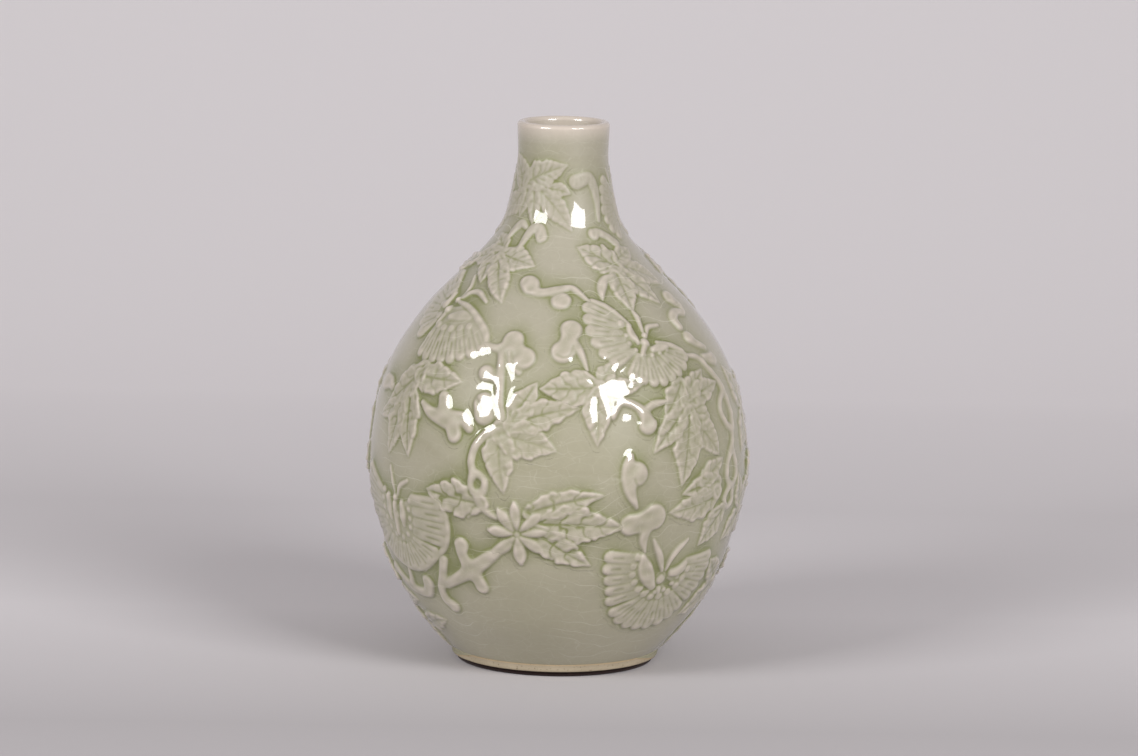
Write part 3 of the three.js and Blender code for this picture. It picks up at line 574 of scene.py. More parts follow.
    "scroll_double": [
        scroll([(21.8, 87, 1.2), (21.2, 83.6, 2.2), (21, 79, 2.5), (21.8, 74, 1.9), (24, 68.6, 0.6)],
               [(23.6, 80.8, 4.2)]),
        groove((26, 76.2), (23.9, 76.6), (22.8, 79), depth=0.5, half=0.45),
        scroll([(22.6, 62, 3.9), (26, 62.8, 3.7), (30.2, 64.4, 4.9)],
               [(28.2, 60.4, 1.9), (27.6, 56, 1.7), (28.7, 51.4, 0.5)]),
    ],
    "scroll_low_left": [
        scroll([(-31, 52.5, 2.8), (-31, 48.9, 2.2), (-28.8, 44, 2.4), (-26.4, 39.6, 2.3),
                (-25.6, 37.2, 2.4)],
               [(-18.6, 51.2, 1.5), (-22, 48.6, 2.3), (-27.8, 44, 2.6), (-33.4, 40.2, 2.2),
                (-39.4, 36.8, 1.7)],
               [(-39, 45.7, 1.9), (-40.8, 39.8, 1.7), (-43.6, 33.9, 1.7), (-43, 30, 1.9),
                (-40.4, 27.6, 2.4)], fillet=0.9),
    ],
    "scroll_foot_left": [
        scroll([(-49.8, 35.4, 2.8), (-52.2, 31.4, 2.1), (-57.8, 30.6, 2.0), (-62.6, 31.6, 2.0),
                (-67, 33.6, 1.9), (-72, 36.8, 2.4)],
               [(-61.4, 32, 1.4), (-60, 36, 1.2), (-58.8, 39.6, 0.6)]),
        leaf((-72, 15.4), (-50, 20.4), 7.6, bend=0.05),
        leaf((-86, 24), (-66, 25.6), 8.6, bend=0.1),
        leaf((-80, 33), (-97, 43), 9.6, crown=2.6),
        leaf((-84, 21), (-73, 5.4), 7, crown=2.2),
    ],
    "vine_right": [
        scroll([(64.6, 137.8, 2.9), (67.6, 134.6, 1.6), (66.4, 132.6, 1.4), (60.6, 133.2, 1.6),
                (56.2, 131.6, 1.9), (56.8, 128.8, 1.7)]),
        scroll([(58.6, 124.8, 2.5), (62, 122.4, 1.5), (66.4, 120.6, 1.0)]),
        scroll([(52.4, 119.4, 0.7), (58, 118, 1.1), (61.6, 113.8, 1.2), (65.6, 108.6, 1.5),
                (67.4, 103, 1.3), (68.2, 97, 1.2), (67.2, 92.4, 1.3), (66.6, 88, 1.1), (65.4, 84, 1.3)],
               [(66, 105, 1.1), (62.2, 101.8, 1.1), (61.4, 98, 1.1), (63.4, 94, 1.1), (67, 91, 1.3)],
               [(65.4, 84.4, 1.2), (62.4, 80, 1.1), (61.6, 75.6, 1.1), (64, 71.6, 1.2), (67, 71.8, 1.1),
                (68.6, 75.6, 1.1), (67.6, 80, 1.1), (65.4, 84.4, 1.2)],
               [(61.8, 117.8, 1.1), (65.4, 116.8, 2.0), (68.2, 116.4, 2.6)],
               [(63.4, 71, 1.2), (61, 66.8, 1.2), (63.4, 63.2, 1.2), (66.4, 65.2, 1.1), (66, 69, 1.0)]),
    ],
    "hook_neck": [
        strand((16.6, 179.6, 2.5), (24, 180.3, 2.3), (33, 180.7, 1.9), (39.6, 177.6, 1.6),
               (42.2, 172, 1.2), (40.8, 166, 0.5), crown=1.1),
    ],
}


# The relief is pressed lower on the narrow neck
LOWERED = np.interp(HEIGHT, [146, 164], [1.0, 0.52])
# What a groove leaves of the clay under it, in mm
GROOVE_FLOOR = 0.25
# Far outside every form, in mm
OUTSIDE = -1e3


def pressed_relief():
    """Over half of the lattice: the clay's height, the distance inside the nearest sprig's edge, and
    which sprig that is. For each sprig: its first and last row and column."""
    height = np.zeros((ROWS, HALF))
    edge = np.full((ROWS, HALF), OUTSIDE)
    owner = np.full((ROWS, HALF), -1)
    windows = []
    for number, forms in enumerate(RELIEF.values()):
        own_edge = np.full((ROWS, HALF), OUTSIDE)
        columns, rows = [], []
        for places, reach, press in forms:
            sheet = Sheet(places, reach + MARGIN + 1)
            inside, lift = press(sheet)
            lift = lift * LOWERED[sheet.rows][:, None]
            at = np.ix_(sheet.rows, sheet.columns % HALF)
            if inside is None:
                height[at] = np.maximum(height[at] - lift, np.minimum(height[at], GROOVE_FLOOR))
                continue
            own_edge[at] = np.maximum(own_edge[at], inside)
            height[at] = np.maximum(height[at], lift)
            columns += [sheet.columns[0], sheet.columns[-1]]
            rows += [sheet.rows[0], sheet.rows[-1]]
        nearer = own_edge > edge
        edge = np.where(nearer, own_edge, edge)
        owner = np.where(nearer, number, owner)
        windows.append((min(rows), max(rows), min(columns), max(columns)))
    owner[edge < -MARGIN] = -1
    return height, edge, owner, windows


def blurred(field, size):
    """The field averaged over so many mm, round the vase and along its outline."""
    waves = np.fft.rfftfreq(HALF)[None, :]
    columns = size / (np.radians(COLUMN_DEG) * RADIUS)[:, None]
    round_vase = np.exp(-2 * (np.pi * waves * columns) ** 2)
    field = np.fft.irfft(np.fft.rfft(field, axis=1) * round_vase, HALF, axis=1)
    reach = max(1, int(3 * size / ROW))
    taps = np.exp(-0.5 * (np.arange(-reach, reach + 1) * ROW / size) ** 2)
    taps /= taps.sum()
    padded = np.pad(field, ((reach, reach), (0, 0)), mode="edge")
    return sum(tap * padded[k:k + ROWS] for k, tap in enumerate(taps))


def column_azimuths(first=0, last=HALF):
    return np.radians(FIRST_DEG + np.arange(first, last) * COLUMN_DEG)[None, :]


def ripples(waves):
    """Waves that wind round the vase: each with its turns, its length up the outline in mm, its start and
    its size."""
    field = np.zeros((ROWS, HALF))
    for turns, length, start, size in waves:
        field += size * np.sin(turns * column_azimuths() + 2 * np.pi * ARC[:, None] / length + start)
    return field


def hand_waver():
    """How far the thrown and sponged wall lies off its plain curve, in mm, the same on both halves."""
    waver = ripples([(4, 61, 0.4, 0.07), (6, -43, 2.1, 0.05), (10, 31, 1.2, 0.03), (16, -23, 4.0, 0.02),
                     (2, 37, 5.1, 0.05), (12, 17, 0.7, 0.015)])
    waver *= np.clip(RADIUS / 40, 0.25, 1)[:, None] * np.clip(ARC / 12, 0, 1)[:, None]
    # It swells under the densest relief
    for azimuth, height, size, across, up in ((-26, 78, 1.5, 13, 12), (22, 79, 1.4, 13, 12)):
        away = np.radians((np.degrees(column_azimuths()) - azimuth + 90) % 180 - 90) * RADIUS[:, None]
        waver += size * np.exp(-(away / across) ** 2 - ((HEIGHT[:, None] - height) / up) ** 2)
    # It is fuller above the foot, and slimmer at the root of the neck
    fuller = 0.9 * np.exp(-((HEIGHT - 32) / 16) ** 4)
    slimmer = 1.4 * ridge(HEIGHT - 163, 9)
    return waver + (fuller - slimmer)[:, None]


def lower_down(field, drop):
    """What the field is this many mm down the wall from each place."""
    shift = int(drop / ROW)
    return np.vstack([np.zeros((shift, HALF)), field[:-shift]])


CLAY, CLAY_EDGE, SPRIG, WINDOWS = pressed_relief()
# Fingers press the relief unevenly over 4 to 7 mm, here as a share of its height
CLAY *= 1 + ripples([(38, 6.4, 0.3, 0.06), (-52, 9.1, 2.2, 0.06), (66, -14.3, 4.4, 0.06),
                     (-30, 4.7, 1.5, 0.06), (18, 5.6, 5.2, 0.06)])
WAVER = hand_waver()
# The molten glaze levels itself, so its surface is softer and lower than the clay under it, and steps
# down at the edge of each form
EDGE_STEP = 0.16
LIFT = 0.64 * blurred(CLAY + EDGE_STEP * (CLAY_EDGE > 0), 0.42) + WAVER


def glaze_depth_and_painted_light():
    """How deep the glaze lies at each lattice place, from about -1 where it is thin and pale to 1 in a
    green pool, with a thin line of painted shade added round the edge of each form."""
    crisp, soft, wide = blurred(CLAY, 0.2), blurred(CLAY, 0.7), blurred(CLAY, 3.2)
    depth = 0.5 * (wide - crisp) + 0.5 * np.tanh(2.6 * (soft - crisp))
    # Glaze runs down on to each form and stops above it
    depth += 0.38 * np.clip(lower_down(wide, 4.2) - crisp, 0, None)
    # A thin darker line all round the edge of each form: partly glaze standing in the corner, partly
    # painted shade of the edge
    depth += 0.13 * ridge(CLAY_EDGE + 0.2, 0.4)
    # It has run off the lip, and stands a little deeper on the neck
    neck = 0.1 * np.clip((HEIGHT - 160) / 20, 0, 1)
    lip = 1.05 * np.clip((HEIGHT - 193.5) / 5.5, 0, 1)
    return depth + (neck - lip)[:, None]


def glaze_faces():
    """Which way the glass of the glaze faces at each lattice place. The relief shows through the clear
    glaze, whose own surface levels itself over it while it is molten, and it is this surface that mirrors
    the lamps."""
    # It keeps less than half of the relief's height, and less still on the neck
    levelled = np.interp(HEIGHT, [150, 170], [0.42, 0.24])[:, None] * blurred(CLAY, 1.1)
    lift = np.pad(levelled + WAVER, ((0, 0), (1, 1)), mode="wrap")
    azimuth = column_azimuths(-1, HALF + 1)
    radius = RADIUS[:, None] + lift * OUT[:, :1]
    height = HEIGHT[:, None] + lift * OUT[:, 1:]
    points = np.stack([radius * np.sin(azimuth), -radius * np.cos(azimuth), height], 2)
    across = points[:, 2:] - points[:, :-2]
    faces = np.cross(across, np.gradient(points, axis=0)[:, 1:-1])
    return faces / np.linalg.norm(faces, axis=2)[:, :, None]


GLAZE_DEPTH_AND_PAINTED_LIGHT = glaze_depth_and_painted_light()
GLAZE_FACES = glaze_faces()


def facing(rows, columns):
    """Which way the glass of the glaze faces at lattice places, front or back."""
    faces = GLAZE_FACES[rows, columns % HALF]
    faces[columns // HALF % 2 == 1, :2] *= -1
    return faces


def on_wall(rows, columns, sunk):
    """Points of the glazed surface at lattice places, in metres, pushed in by so many mm."""
    azimuth = np.radians(FIRST_DEG + columns * COLUMN_DEG)
    lift = LIFT[rows, columns % HALF] - sunk
    radius = RADIUS[rows] + lift * OUT[rows, 0]
    height = HEIGHT[rows] + lift * OUT[rows, 1]
    return np.stack([radius * np.sin(azimuth), -radius * np.cos(azimuth), height], 1) * MM


def made_mesh(name, body):
    mesh = bpy.data.meshes.new(name)
    body.to_mesh(mesh)
    body.free()
    return mesh


def in_scene(name, data):
    thing = bpy.data.objects.new(name, data)
    bpy.context.scene.collection.objects.link(thing)
    return thing


def add_piece(name, mesh, material, slot, *nodes):
    """Makes a piece of a mesh, and stands it in for CAD nodes."""
    mesh.polygons.foreach_set("use_smooth", np.ones(len(mesh.polygons), bool))
    mesh.materials.append(material)
    piece = in_scene(name, mesh)
    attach(piece, "root")
    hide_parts(*nodes)


def coat(mesh, points, depth, faces):
    """Lays a sheet in its place and gives it its glaze."""
    mesh.vertices.foreach_set("co", np.asarray(points, np.float32).ravel())
    attribute = mesh.attributes.new("glaze_depth_and_painted_light", "FLOAT", "POINT")
    attribute.data.foreach_set("value", np.asarray(depth, np.float32))
    attribute = mesh.attributes.new("glaze_faces", "FLOAT_VECTOR", "POINT")
    attribute.data.foreach_set("vector", np.asarray(faces, np.float32).ravel())
    mesh.update()


def vertex_places(mesh):
    """Where each vertex of a mesh is."""
    places = np.empty(len(mesh.vertices) * 3, np.float32)
    mesh.vertices.foreach_get("co", places)
    return places.reshape(-1, 3)


def new_verts(made):
    """The vertices among what an operator made."""
    return [part for part in made["geom"] if isinstance(part, bmesh.types.BMVert)]


def cut_sheet(across, up, keep=None):
    """A flat sheet of so many squares, one unit each. Where it is cut to the squares to keep, its edge is
    turned down by one unit."""
    sheet = bmesh.new()
    bmesh.ops.create_grid(sheet, x_segments=across, y_segments=up, size=0.5)
    bmesh.ops.scale(sheet, verts=sheet.verts, vec=(across, up, 1))
    bmesh.ops.translate(sheet, verts=sheet.verts, vec=(across / 2, up / 2, 0))
    if keep is not None:
        spare = [face for face, kept in zip(sheet.faces, keep.ravel()) if not kept]
        bmesh.ops.delete(sheet, geom=spare, context="FACES")
        hem = bmesh.ops.extrude_edge_only(sheet, edges=[edge for edge in sheet.edges if edge.is_boundary])
        bmesh.ops.translate(sheet, verts=new_verts(hem), vec=(0, 0, -1))
    return made_mesh("sheet", sheet)


def stride_at(radius):
    """Columns lie closer together where the vase is narrow, so fewer of them are needed there."""
    if radius > 40:
        return 1
    return 2 if radius >= 26 else 3


def sprig_piece(name, number, material):
    """One pressed sprig under its glaze, front and back: its part of the lattice, wrapped on the wall."""
    low, high, first, last = WINDOWS[number]
    stride = stride_at(RADIUS[low:high].mean())
    columns = np.arange(first, last, stride)
    rows = np.arange(low, high)
    keep = SPRIG[np.ix_(rows, columns % HALF)] == number
    front = cut_sheet(len(columns), len(rows), keep)
    place = vertex_places(front)
    column = np.rint(place[:, 0]).astype(int) * stride + first
    row = np.clip(np.rint(place[:, 1]).astype(int) + low, 0, ROWS - 1)
    # From this many mm outside the sprig its glaze sinks smoothly to the wall, and its edge is turned in
    sinks_from = 1.2
    tuck = np.clip((-sinks_from - CLAY_EDGE[row, column % HALF]) / (MARGIN - sinks_from), 0, 1)
    sunk = 2 * UNDER * tuck * tuck * (3 - 2 * tuck) + SKIRT * (place[:, 2] < -0.5)
    depth = GLAZE_DEPTH_AND_PAINTED_LIGHT[row, column % HALF]
    back = front.copy()
    for side, mesh, turned_by in (("front", front, 0), ("back", back, HALF)):
        coat(mesh, on_wall(row, column + turned_by, sunk), depth, facing(row, column + turned_by))
        add_piece(f"glazed_{name}_{side}", mesh, material, "relief_glaze", f"{name}_{side}")


def wall_profile():
    """The whole section of the wall from its underside, up the outside, over the lip and down to the
    inner floor. Each stop has its radius, height, lattice row or -1, and glaze depth, which inside the neck
    is a pale tone of painted light."""
    # The glaze wraps under the wall beside the foot ring
    wrap = [(36.4, FOOT_TOP + 0.02, 0), (37.6, FOOT_TOP + 0.03, 0.2), (38.05, FOOT_TOP + 0.12, 0.3)]
    stops = [(0, GLAZE_LINE[1], -1, 0), (20, GLAZE_LINE[1], -1, 0)]
    stops += [(radius, height, -1, depth) for radius, height, depth in wrap]
    outside = list(range(0, ROWS - 1, WALL_EVERY)) + [ROWS - 1]
    stops += [(RADIUS[k], HEIGHT[k], k, 0) for k in outside]
    # The glaze is thinnest over the lip
    for turn in np.linspace(0, math.pi, 13)[1:-1]:
        over_lip = (LIP_CENTRE[0] + LIP_ROUND * math.cos(turn), LIP_CENTRE[1] + LIP_ROUND * math.sin(turn))
        stops.append((*over_lip, -1, -1.1))
    cove = 9
    inside = [k for k in outside[::-INSIDE_EVERY] if HEIGHT[k] > INNER_FLOOR + cove]
    # Inside the neck the wall is given a pale tone: painted light, for the light that bounces round inside
    # the mouth
    for k in inside:
        thick = np.interp(HEIGHT[k], [NECK_ROOT[1], NECK_WAIST[1]], [BODY_WALL, NECK_WALL])
        stops.append((RADIUS[k] - thick * OUT[k, 0], HEIGHT[k] - thick * OUT[k, 1], -1, -0.8))
    # A cove of that size leads from the wall to the floor
    heel = stops[-1]
    corner = heel[0] - (heel[1] - INNER_FLOOR) * 0.9
    curve = bezier(heel[:2], (corner, INNER_FLOOR + 1.2), (corner - 2, INNER_FLOOR),
                   (corner - cove, INNER_FLOOR), 8)
    floor = [*curve[1:], (12, INNER_FLOOR), (0, INNER_FLOOR)]
    return stops + [(radius, height, -1, 0.1) for radius, height in floor]


def glazed_wall(material):
    """The lower body, upper body and neck under one coat of glaze."""
    stops = wall_profile()
    mesh = cut_sheet(COLUMNS // WALL_EVERY, len(stops) - 1)
    place = vertex_places(mesh)
    column = np.rint(place[:, 0]).astype(int) * WALL_EVERY
    stop = np.rint(place[:, 1]).astype(int)
    radius, height, row, depth = (np.array(v)[stop] for v in zip(*stops))
    outside = row >= 0
    row = np.clip(row.astype(int), 0, ROWS - 1)
    azimuth = np.radians(FIRST_DEG + column * COLUMN_DEG)
    points = np.stack([radius * np.sin(azimuth), -radius * np.cos(azimuth), height], 1) * MM
    # Under a sprig the wall follows the plain curve, a little deeper
    covered = np.clip((CLAY_EDGE[row, column % HALF] + 1.6) / 0.6, 0, 1)
    sunk = UNDER + covered * (0.05 + (LIFT - WAVER)[row, column % HALF])
    points[outside] = on_wall(row[outside], column[outside], sunk[outside])
    depth = np.where(outside, GLAZE_DEPTH_AND_PAINTED_LIGHT[row, column % HALF], depth)
    mesh.vertices.foreach_set("co", points.astype(np.float32).ravel())
    # The seam and the poles are closed, and each vertex that is left keeps its number in the open sheet
    solid = bmesh.new()
    solid.from_mesh(mesh)
    layer = solid.verts.layers.int.new("open_number")
    for number, vert in enumerate(solid.verts):
        vert[layer] = number
    bmesh.ops.remove_doubles(solid, verts=solid.verts, dist=1e-7)
    bmesh.ops.recalc_face_normals(solid, faces=solid.faces)
    solid.to_mesh(mesh)
    solid.free()
    kept = np.empty(len(mesh.vertices), np.int32)
    mesh.attributes["open_number"].data.foreach_get("value", kept)
    mesh.attributes.remove(mesh.attributes["open_number"])
    faces = np.array([vert.normal for vert in mesh.vertices])
    coated = outside[kept]
    faces[coated] = facing(row[kept][coated], column[kept][coated])
    coat(mesh, vertex_places(mesh), depth[kept], faces)
    add_piece("glazed_wall", mesh, material, "wall_glaze", "lower_body", "upper_body", "neck")


def linear(code):
    """An sRGB hex colour as linear light."""
    parts = [int(code[k:k + 2], 16) / 255 for k in (0, 2, 4)]
    return (*(c / 12.92 if c <= 0.04045 else ((c + 0.055) / 1.055) ** 2.4 for c in parts), 1)


def add(tree, kind, links=None, **settings):
    """Adds a shader node with its settings. Each link is an input's name or number and what feeds it: a
    value, a socket, or a node, which gives the first output that it has in use."""
    node = tree.nodes.new("ShaderNode" + kind)
    for key, value in settings.items():
        setattr(node, key, value)
    for key, value in (links or {}).items():
        if isinstance(value, bpy.types.Node):
            value = next(socket for socket in value.outputs if socket.enabled)
        if isinstance(value, bpy.types.NodeSocket):
            tree.links.new(value, node.inputs[key])
        else:
            node.inputs[key].default_value = value
    return node


def new_material(name):
    material = bpy.data.materials.new(name)
    material.use_nodes = True
    material.node_tree.nodes.clear()
    return material, material.node_tree


def celadon_glaze():
    """Celadon: a clear iron glaze fired in reduction over pale stoneware. It is glassy, it thins to a
    pinkish grey on what stands proud, pools olive green beside it, and is crazed with fine pale lines."""
    material, tree = new_material("celadon_glaze_over_stoneware")
    place = add(tree, "TexCoord").outputs["Object"]
    high = add(tree, "SeparateXYZ", {0: place}).outputs["Z"]
    depth = add(tree, "Attribute", attribute_name="glaze_depth_and_painted_light").outputs["Fac"]
    # The glaze drifts in tone over 30 to 40 mm, and is greyer over the upper half, where it ran thinner
    cloud = add(tree, "TexNoise", {"Vector": place, "Scale": 30.0, "Detail": 2.0})
    ground = add(tree, "Mix", {"Factor": cloud, 6: linear("938F77"), 7: linear("A09B87")},
                 data_type="RGBA")
    upper = add(tree, "MapRange", {"Value": high, "From Min": 0.09, "From Max": 0.15, "To Max": 0.45})
    ground = add(tree, "Mix", {"Factor": upper, 6: ground, 7: linear("A29C90")}, data_type="RGBA")
    # It is pale where it is thin, and a deeper green where it pools, here more and there less. The same
    # tones also paint the light inside the neck and the shade round the edge of each form
    thin = add(tree, "MapRange", {"Value": depth, "From Min": 0.0, "From Max": -1.1})
    crest = add(tree, "Mix", {"Factor": thin, 6: ground, 7: linear("BDB2A6")}, data_type="RGBA")
    drift = add(tree, "MapRange", {"Value": cloud, "From Min": 0.35, "From Max": 0.65, "To Min": 0.45,
                                   "To Max": 1.35})
    pooled = add(tree, "Math", {0: depth, 1: drift}, operation="MULTIPLY")
    deep = add(tree, "MapRange", {"Value": pooled, "From Min": 0.06, "From Max": 0.9})
    pool = add(tree, "Mix", {"Factor": deep, 6: crest, 7: linear("74774A")}, data_type="RGBA")
    # Crazing: long wavering cracks about 5 mm apart that lie along the throwing, and a fine net of 7 mm
    # between them
    sway = add(tree, "TexNoise", {"Vector": place, "Scale": 22.0, "Detail": 3.0})
    swung = add(tree, "Math", {0: sway, 1: 7.0}, operation="MULTIPLY")
    level = add(tree, "Math", {0: high, 1: 200.0, 2: swung}, operation="MULTIPLY_ADD")
    from_crack = add(tree, "Math", {0: level, 1: 0.5}, operation="PINGPONG")
    patch = add(tree, "TexNoise", {"Vector": place, "Scale": 48.0})
    broken = add(tree, "MapRange", {"Value": patch, "From Min": 0.47, "From Max": 0.62, "To Max": 0.55})
    long_crack = add(tree, "MapRange", {"Value": from_crack, "From Min": 0.035, "From Max": 0.0,
                                        "To Max": broken})
    warp = add(tree, "TexNoise", {"Vector": place, "Scale": 120.0, "Detail": 1.0}).outputs["Color"]
    bent = add(tree, "Mix", {"Factor": 0.006, 4: place, 5: warp}, data_type="VECTOR")
    laid = add(tree, "Mapping", {"Vector": bent, "Scale": (1.0, 1.0, 2.0)})
    net = add(tree, "TexVoronoi", {"Vector": laid, "Scale": 140.0}, feature="DISTANCE_TO_EDGE")
    short_crack = add(tree, "MapRange", {"Value": net, "From Min": 0.02, "From Max": 0.0, "To Max": 0.18})
    crack = add(tree, "Math", {0: long_crack, 1: short_crack}, operation="MAXIMUM")
    cracked = add(tree, "Mix", {"Factor": crack, 6: pool, 7: linear("C4BFAF")}, data_type="RGBA")
    # It is speckled over about 1.5 mm, and its skin is very slightly uneven
    speckle = add(tree, "TexNoise", {"Vector": place, "Scale": 600.0, "Detail": 2.0})
    spotted = add(tree, "Mix", {"Factor": 0.05, 6: cracked, 7: speckle}, data_type="RGBA",
                  blend_type="OVERLAY")
    skin = add(tree, "TexNoise", {"Vector": place, "Scale": 260.0, "Detail": 2.0})
    uneven = {"Height": skin, "Strength": 0.12, "Distance": 0.0001}
    body = add(tree, "Bump", uneven)
    faces = add(tree, "Attribute", attribute_name="glaze_faces").outputs["Vector"]
    glass = add(tree, "Bump", {**uneven, "Normal": faces})
    shader = add(tree, "BsdfPrincipled", {"Base Color": spotted, "Roughness": 0.42, "IOR": 1.5,
                                          "Specular IOR Level": 0.3, "Normal": body, "Coat Weight": 1.0,
                                          "Coat Roughness": 0.03, "Coat IOR": 1.58, "Coat Normal": glass})
    add(tree, "OutputMaterial", {"Surface": shader})
    return material


def bare_stoneware():
    """Biscuit: stoneware wiped bare of glaze and turned. It is matt cream with dark iron grit, and the
    kiln flashes it orange where the glaze ends."""
    material, tree = new_material("bare_stoneware")
    place = add(tree, "TexCoord").outputs["Object"]
    parts = add(tree, "SeparateXYZ", {0: place})
    blotch = add(tree, "TexNoise", {"Vector": place, "Scale": 120.0, "Detail": 3.0})
    clay_tone = add(tree, "Mix", {"Factor": blotch, 6: linear("968A74"), 7: linear("B7AA92")},
                    data_type="RGBA")
    # The glaze stops about 5 mm up the front, and a thin run of it comes further down at the sides
    out = add(tree, "Math", {0: parts.outputs["X"]}, operation="ABSOLUTE")
    line = add(tree, "MapRange", {"Value": out, "From Min": 0.030, "From Max": 0.0372, "To Min": 0.0050,
                                  "To Max": 0.0022})
    above = add(tree, "Math", {0: parts.outputs["Z"], 1: line}, operation="SUBTRACT")
    flash = add(tree, "MapRange", {"Value": above, "From Min": -0.0008, "From Max": -0.0002,
                                   "To Max": 0.5})
    flashed = add(tree, "Mix", {"Factor": flash, 6: clay_tone, 7: linear("A98A62")}, data_type="RGBA")
    run = add(tree, "MapRange", {"Value": above, "From Min": -0.0002, "From Max": 0.0001})
    flashed = add(tree, "Mix", {"Factor": run, 6: flashed, 7: linear("96927B")}, data_type="RGBA")
    # Iron grit of about 0.4 mm
    grit = add(tree, "TexNoise", {"Vector": place, "Scale": 1500.0, "Detail": 1.0})
    spots = add(tree, "MapRange", {"Value": grit, "From Min": 0.64, "From Max": 0.72, "To Max": 0.6})
    speckled = add(tree, "Mix", {"Factor": spots, 6: flashed, 7: linear("5B4A38")}, data_type="RGBA")
    bump = add(tree, "Bump", {"Height": grit, "Strength": 0.5, "Distance": 0.0001})
    shader = add(tree, "BsdfPrincipled", {"Base Color": speckled, "Roughness": 0.85, "Normal": bump})
    add(tree, "OutputMaterial", {"Surface": shader})
    return material


def maroon_felt():
    """Wool felt: matted fibres, dark maroon, quite matt, with a soft pale sheen at a low angle."""
    material, tree = new_material("maroon_wool_felt")
    place = add(tree, "TexCoord").outputs["Object"]
    # Tufts of about 0.5 mm
    fibre = add(tree, "TexNoise", {"Vector": place, "Scale": 1800.0, "Detail": 4.0})
    tone = add(tree, "Mix", {"Factor": fibre, 6: linear("120806"), 7: linear("2E1512")}, data_type="RGBA")
    bump = add(tree, "Bump", {"Height": fibre, "Strength": 0.8, "Distance": 0.0003})
    shader = add(tree, "BsdfPrincipled", {"Base Color": tone, "Roughness": 1.0, "Sheen Weight": 0.1,
                                          "Normal": bump})
    add(tree, "OutputMaterial", {"Surface": shader})
    return material


def studio_paper():
    """Seamless studio paper: quite matt and pale lilac grey. Its colour is painted lighter behind the vase
    and up the wall: painted light, which softens the vase's shadows on the floor and stands in for light
    on the wall. It is clear from behind, so that it doesn't hide the vase's back."""
    material, tree = new_material("pale_grey_paper")
    place = add(tree, "TexCoord").outputs["Object"]
    back = add(tree, "SeparateXYZ", {0: place}).outputs["Y"]
    # Painted light: the floor is painted lighter behind the vase, where its shadows fall
    near = add(tree, "MapRange", {"Value": back, "From Min": -0.12, "From Max": 0.08})
    tone = add(tree, "Mix", {"Factor": near, 6: linear("A7A3A5"), 7: linear("CDC9CB")}, data_type="RGBA")
    # Painted light: the paper is painted paler up the wall, in place of light on it
    far = add(tree, "MapRange", {"Value": back, "From Min": 0.3, "From Max": 0.58})
    tone = add(tree, "Mix", {"Factor": far, 6: tone, 7: linear("EAE6E8")}, data_type="RGBA")
    # What it throws on to the vase as soft light is even
    ray = add(tree, "LightPath")
    seen = add(tree, "Math", {0: ray.outputs["Is Camera Ray"], 1: ray.outputs["Is Glossy Ray"]},
               operation="MAXIMUM")
    seen = add(tree, "Math", {0: seen, 1: ray.outputs["Is Transmission Ray"]}, operation="MAXIMUM")
    tone = add(tree, "Mix", {"Factor": seen, 6: linear("D2CED0"), 7: tone}, data_type="RGBA")
    shader = add(tree, "BsdfPrincipled", {"Base Color": tone, "Roughness": 0.9})
    behind = add(tree, "NewGeometry").outputs["Backfacing"]
    clear = add(tree, "BsdfTransparent")
    surface = add(tree, "MixShader", {0: behind, 1: shader, 2: clear})
    add(tree, "OutputMaterial", {"Surface": surface})
    return material


# The biscuit ring under the glaze, and the felt under that, as radius and height in mm
RING_SECTION = [(28.4, 1.95), (37.5, 1.95), (37.9, 2.1), (38.1, 2.45), (38.25, 3.2), (38.4, 4.1),
                (38.9, 4.75), (38.85, 4.9), (38.3, 4.9), (37.4, 4.2), (28.4, 4.2), (28.1, 3.9), (28.1, 2.3)]
FELT_SECTION = [(0, 0), (35.7, 0), (36.1, 0.15), (36.3, 0.5), (36.3, 1.3), (36.1, 1.7), (35.7, 1.88),
                (0, 1.88)]


def turned(name, section, material, slot, node):
    """A ring or disc spun from its section."""
    body = bmesh.new()
    verts = [body.verts.new((radius * MM, 0, height * MM)) for radius, height in section]
    edges = [body.edges.new(pair) for pair in zip(verts, verts[1:])]
    # A ring's section is a loop, while a disc's starts and ends on the axis
    if section[0][0] > 0:
        edges.append(body.edges.new((verts[-1], verts[0])))
    bmesh.ops.spin(body, geom=verts + edges, axis=(0, 0, 1), cent=(0, 0, 0), angle=2 * math.pi, steps=256,
                   use_merge=True)
    bmesh.ops.remove_doubles(body, verts=body.verts, dist=1e-6)
    bmesh.ops.recalc_face_normals(body, faces=body.faces)
    add_piece(name, made_mesh(name, body), material, slot, node)


# The camera, as fitted to the vase's outline in the photo. The target, at half the vase's height, lies off
# the middle of the picture by so many of the photo's pixels to the right and up.
CAMERA_AWAY = 2.0
CAMERA_UP_DEG = 9.4
CAMERA_ROLL_DEG = 1.0
FOCUS_PIXELS = 5424
PHOTO_WIDTH = 1138
SENSOR_MM = 36
TARGET = Vector((0, 0, 0.1))
TARGET_OFF_CENTRE = (-9.7, -12.4)


def place_camera():
    camera = in_scene("camera", bpy.data.cameras.new("camera"))
    camera.data.sensor_width = SENSOR_MM
    camera.data.lens = SENSOR_MM * FOCUS_PIXELS / PHOTO_WIDTH
    up = math.radians(CAMERA_UP_DEG)
    back = Vector((0, -math.cos(up), math.sin(up)))
    camera.location = TARGET + back * CAMERA_AWAY
    right, above = Vector((1, 0, 0)), Vector((0, math.sin(up), math.cos(up)))
    off_x, off_y = (pixels / FOCUS_PIXELS * CAMERA_AWAY for pixels in TARGET_OFF_CENTRE)
    aim = TARGET - right * off_x - above * off_y
    look = (aim - camera.location).to_track_quat("-Z", "Y")
    camera.rotation_mode = "QUATERNION"
    roll = Matrix.Rotation(math.radians(CAMERA_ROLL_DEG), 4, "Z").to_quaternion()
    camera.rotation_quaternion = look @ roll
    bpy.context.scene.camera = camera


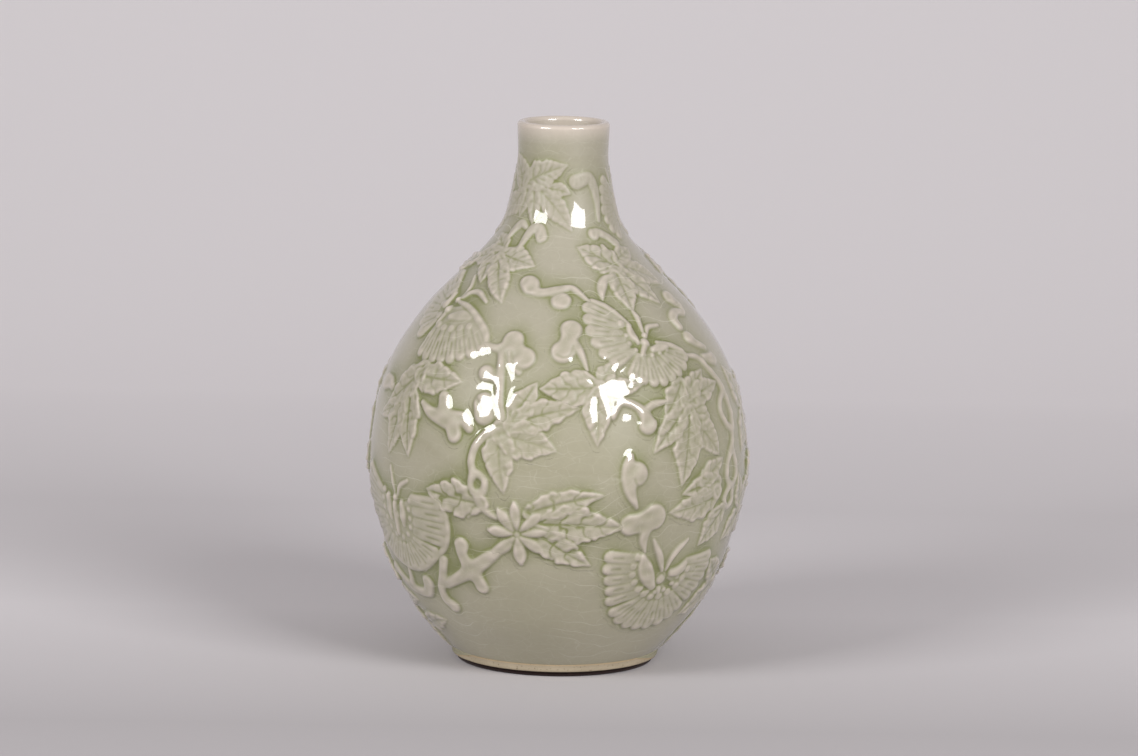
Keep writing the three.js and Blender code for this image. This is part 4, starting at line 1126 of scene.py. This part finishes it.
def softbox(name, azimuth, elevation, away, width, height, watts):
    """A lamp behind a rectangle of cloth that faces the vase, in metres and degrees from the front."""
    azimuth, elevation = math.radians(azimuth), math.radians(elevation)
    lamp = in_scene(name, bpy.data.lights.new(name, "AREA"))
    lamp.data.shape = "RECTANGLE"
    lamp.data.size, lamp.data.size_y = width, height
    lamp.data.energy = watts
    level = math.cos(elevation)
    out = Vector((math.sin(azimuth) * level, -math.cos(azimuth) * level, math.sin(elevation)))
    lamp.location = TARGET + out * away
    lamp.rotation_mode = "QUATERNION"
    lamp.rotation_quaternion = (-out).to_track_quat("-Z", "Y")


def studio_room():
    """Even pale light from all round."""
    world = bpy.data.worlds.new("studio")
    world.use_nodes = True
    background = world.node_tree.nodes["Background"]
    background.inputs["Color"].default_value = linear("CBC7C8")
    background.inputs["Strength"].default_value = 0.62
    bpy.context.scene.world = world


def backdrop():
    """A seamless pale sweep of paper, in metres: a floor, a curve behind the vase and a wall, far wider
    than the view."""
    front, bend, curve, top, side = -3.0, 0.55, 0.7, 4.0, 4.0
    turns = np.radians(np.arange(5, 91, 5))
    section = [(front, 0.0), (bend, 0.0)]
    section += [(bend + curve * math.sin(turn), curve - curve * math.cos(turn)) for turn in turns]
    section += [(bend + curve, top)]
    sweep = bmesh.new()
    verts = [sweep.verts.new((-side, y, z)) for y, z in section]
    edges = [sweep.edges.new(pair) for pair in zip(verts, verts[1:])]
    wide = bmesh.ops.extrude_edge_only(sweep, edges=edges)
    bmesh.ops.translate(sweep, verts=new_verts(wide), vec=(2 * side, 0, 0))
    bmesh.ops.recalc_face_normals(sweep, faces=sweep.faces)
    # The floor faces up
    if min(sweep.faces, key=lambda face: face.calc_center_median().z).normal.z < 0:
        bmesh.ops.reverse_faces(sweep, faces=sweep.faces)
    mesh = made_mesh("backdrop", sweep)
    mesh.polygons.foreach_set("use_smooth", np.ones(len(mesh.polygons), bool))
    mesh.materials.append(studio_paper())
    sheet = in_scene("backdrop", mesh)


glaze = celadon_glaze()
for number, name in enumerate(RELIEF):
    sprig_piece(name, number, glaze)
glazed_wall(glaze)
turned("bare_foot_ring", RING_SECTION, bare_stoneware(), "biscuit", "foot_ring")
turned("felt_disc", FELT_SECTION, maroon_felt(), "felt", "felt_pad")

place_camera()
softbox("softbox_left", -48, 29, 1.3, 0.5, 0.5, 10.0)
softbox("softbox_right", 38, 29, 1.3, 0.58, 0.5, 12.2)
studio_room()
backdrop()

bpy.context.scene.view_settings.view_transform = "Standard"
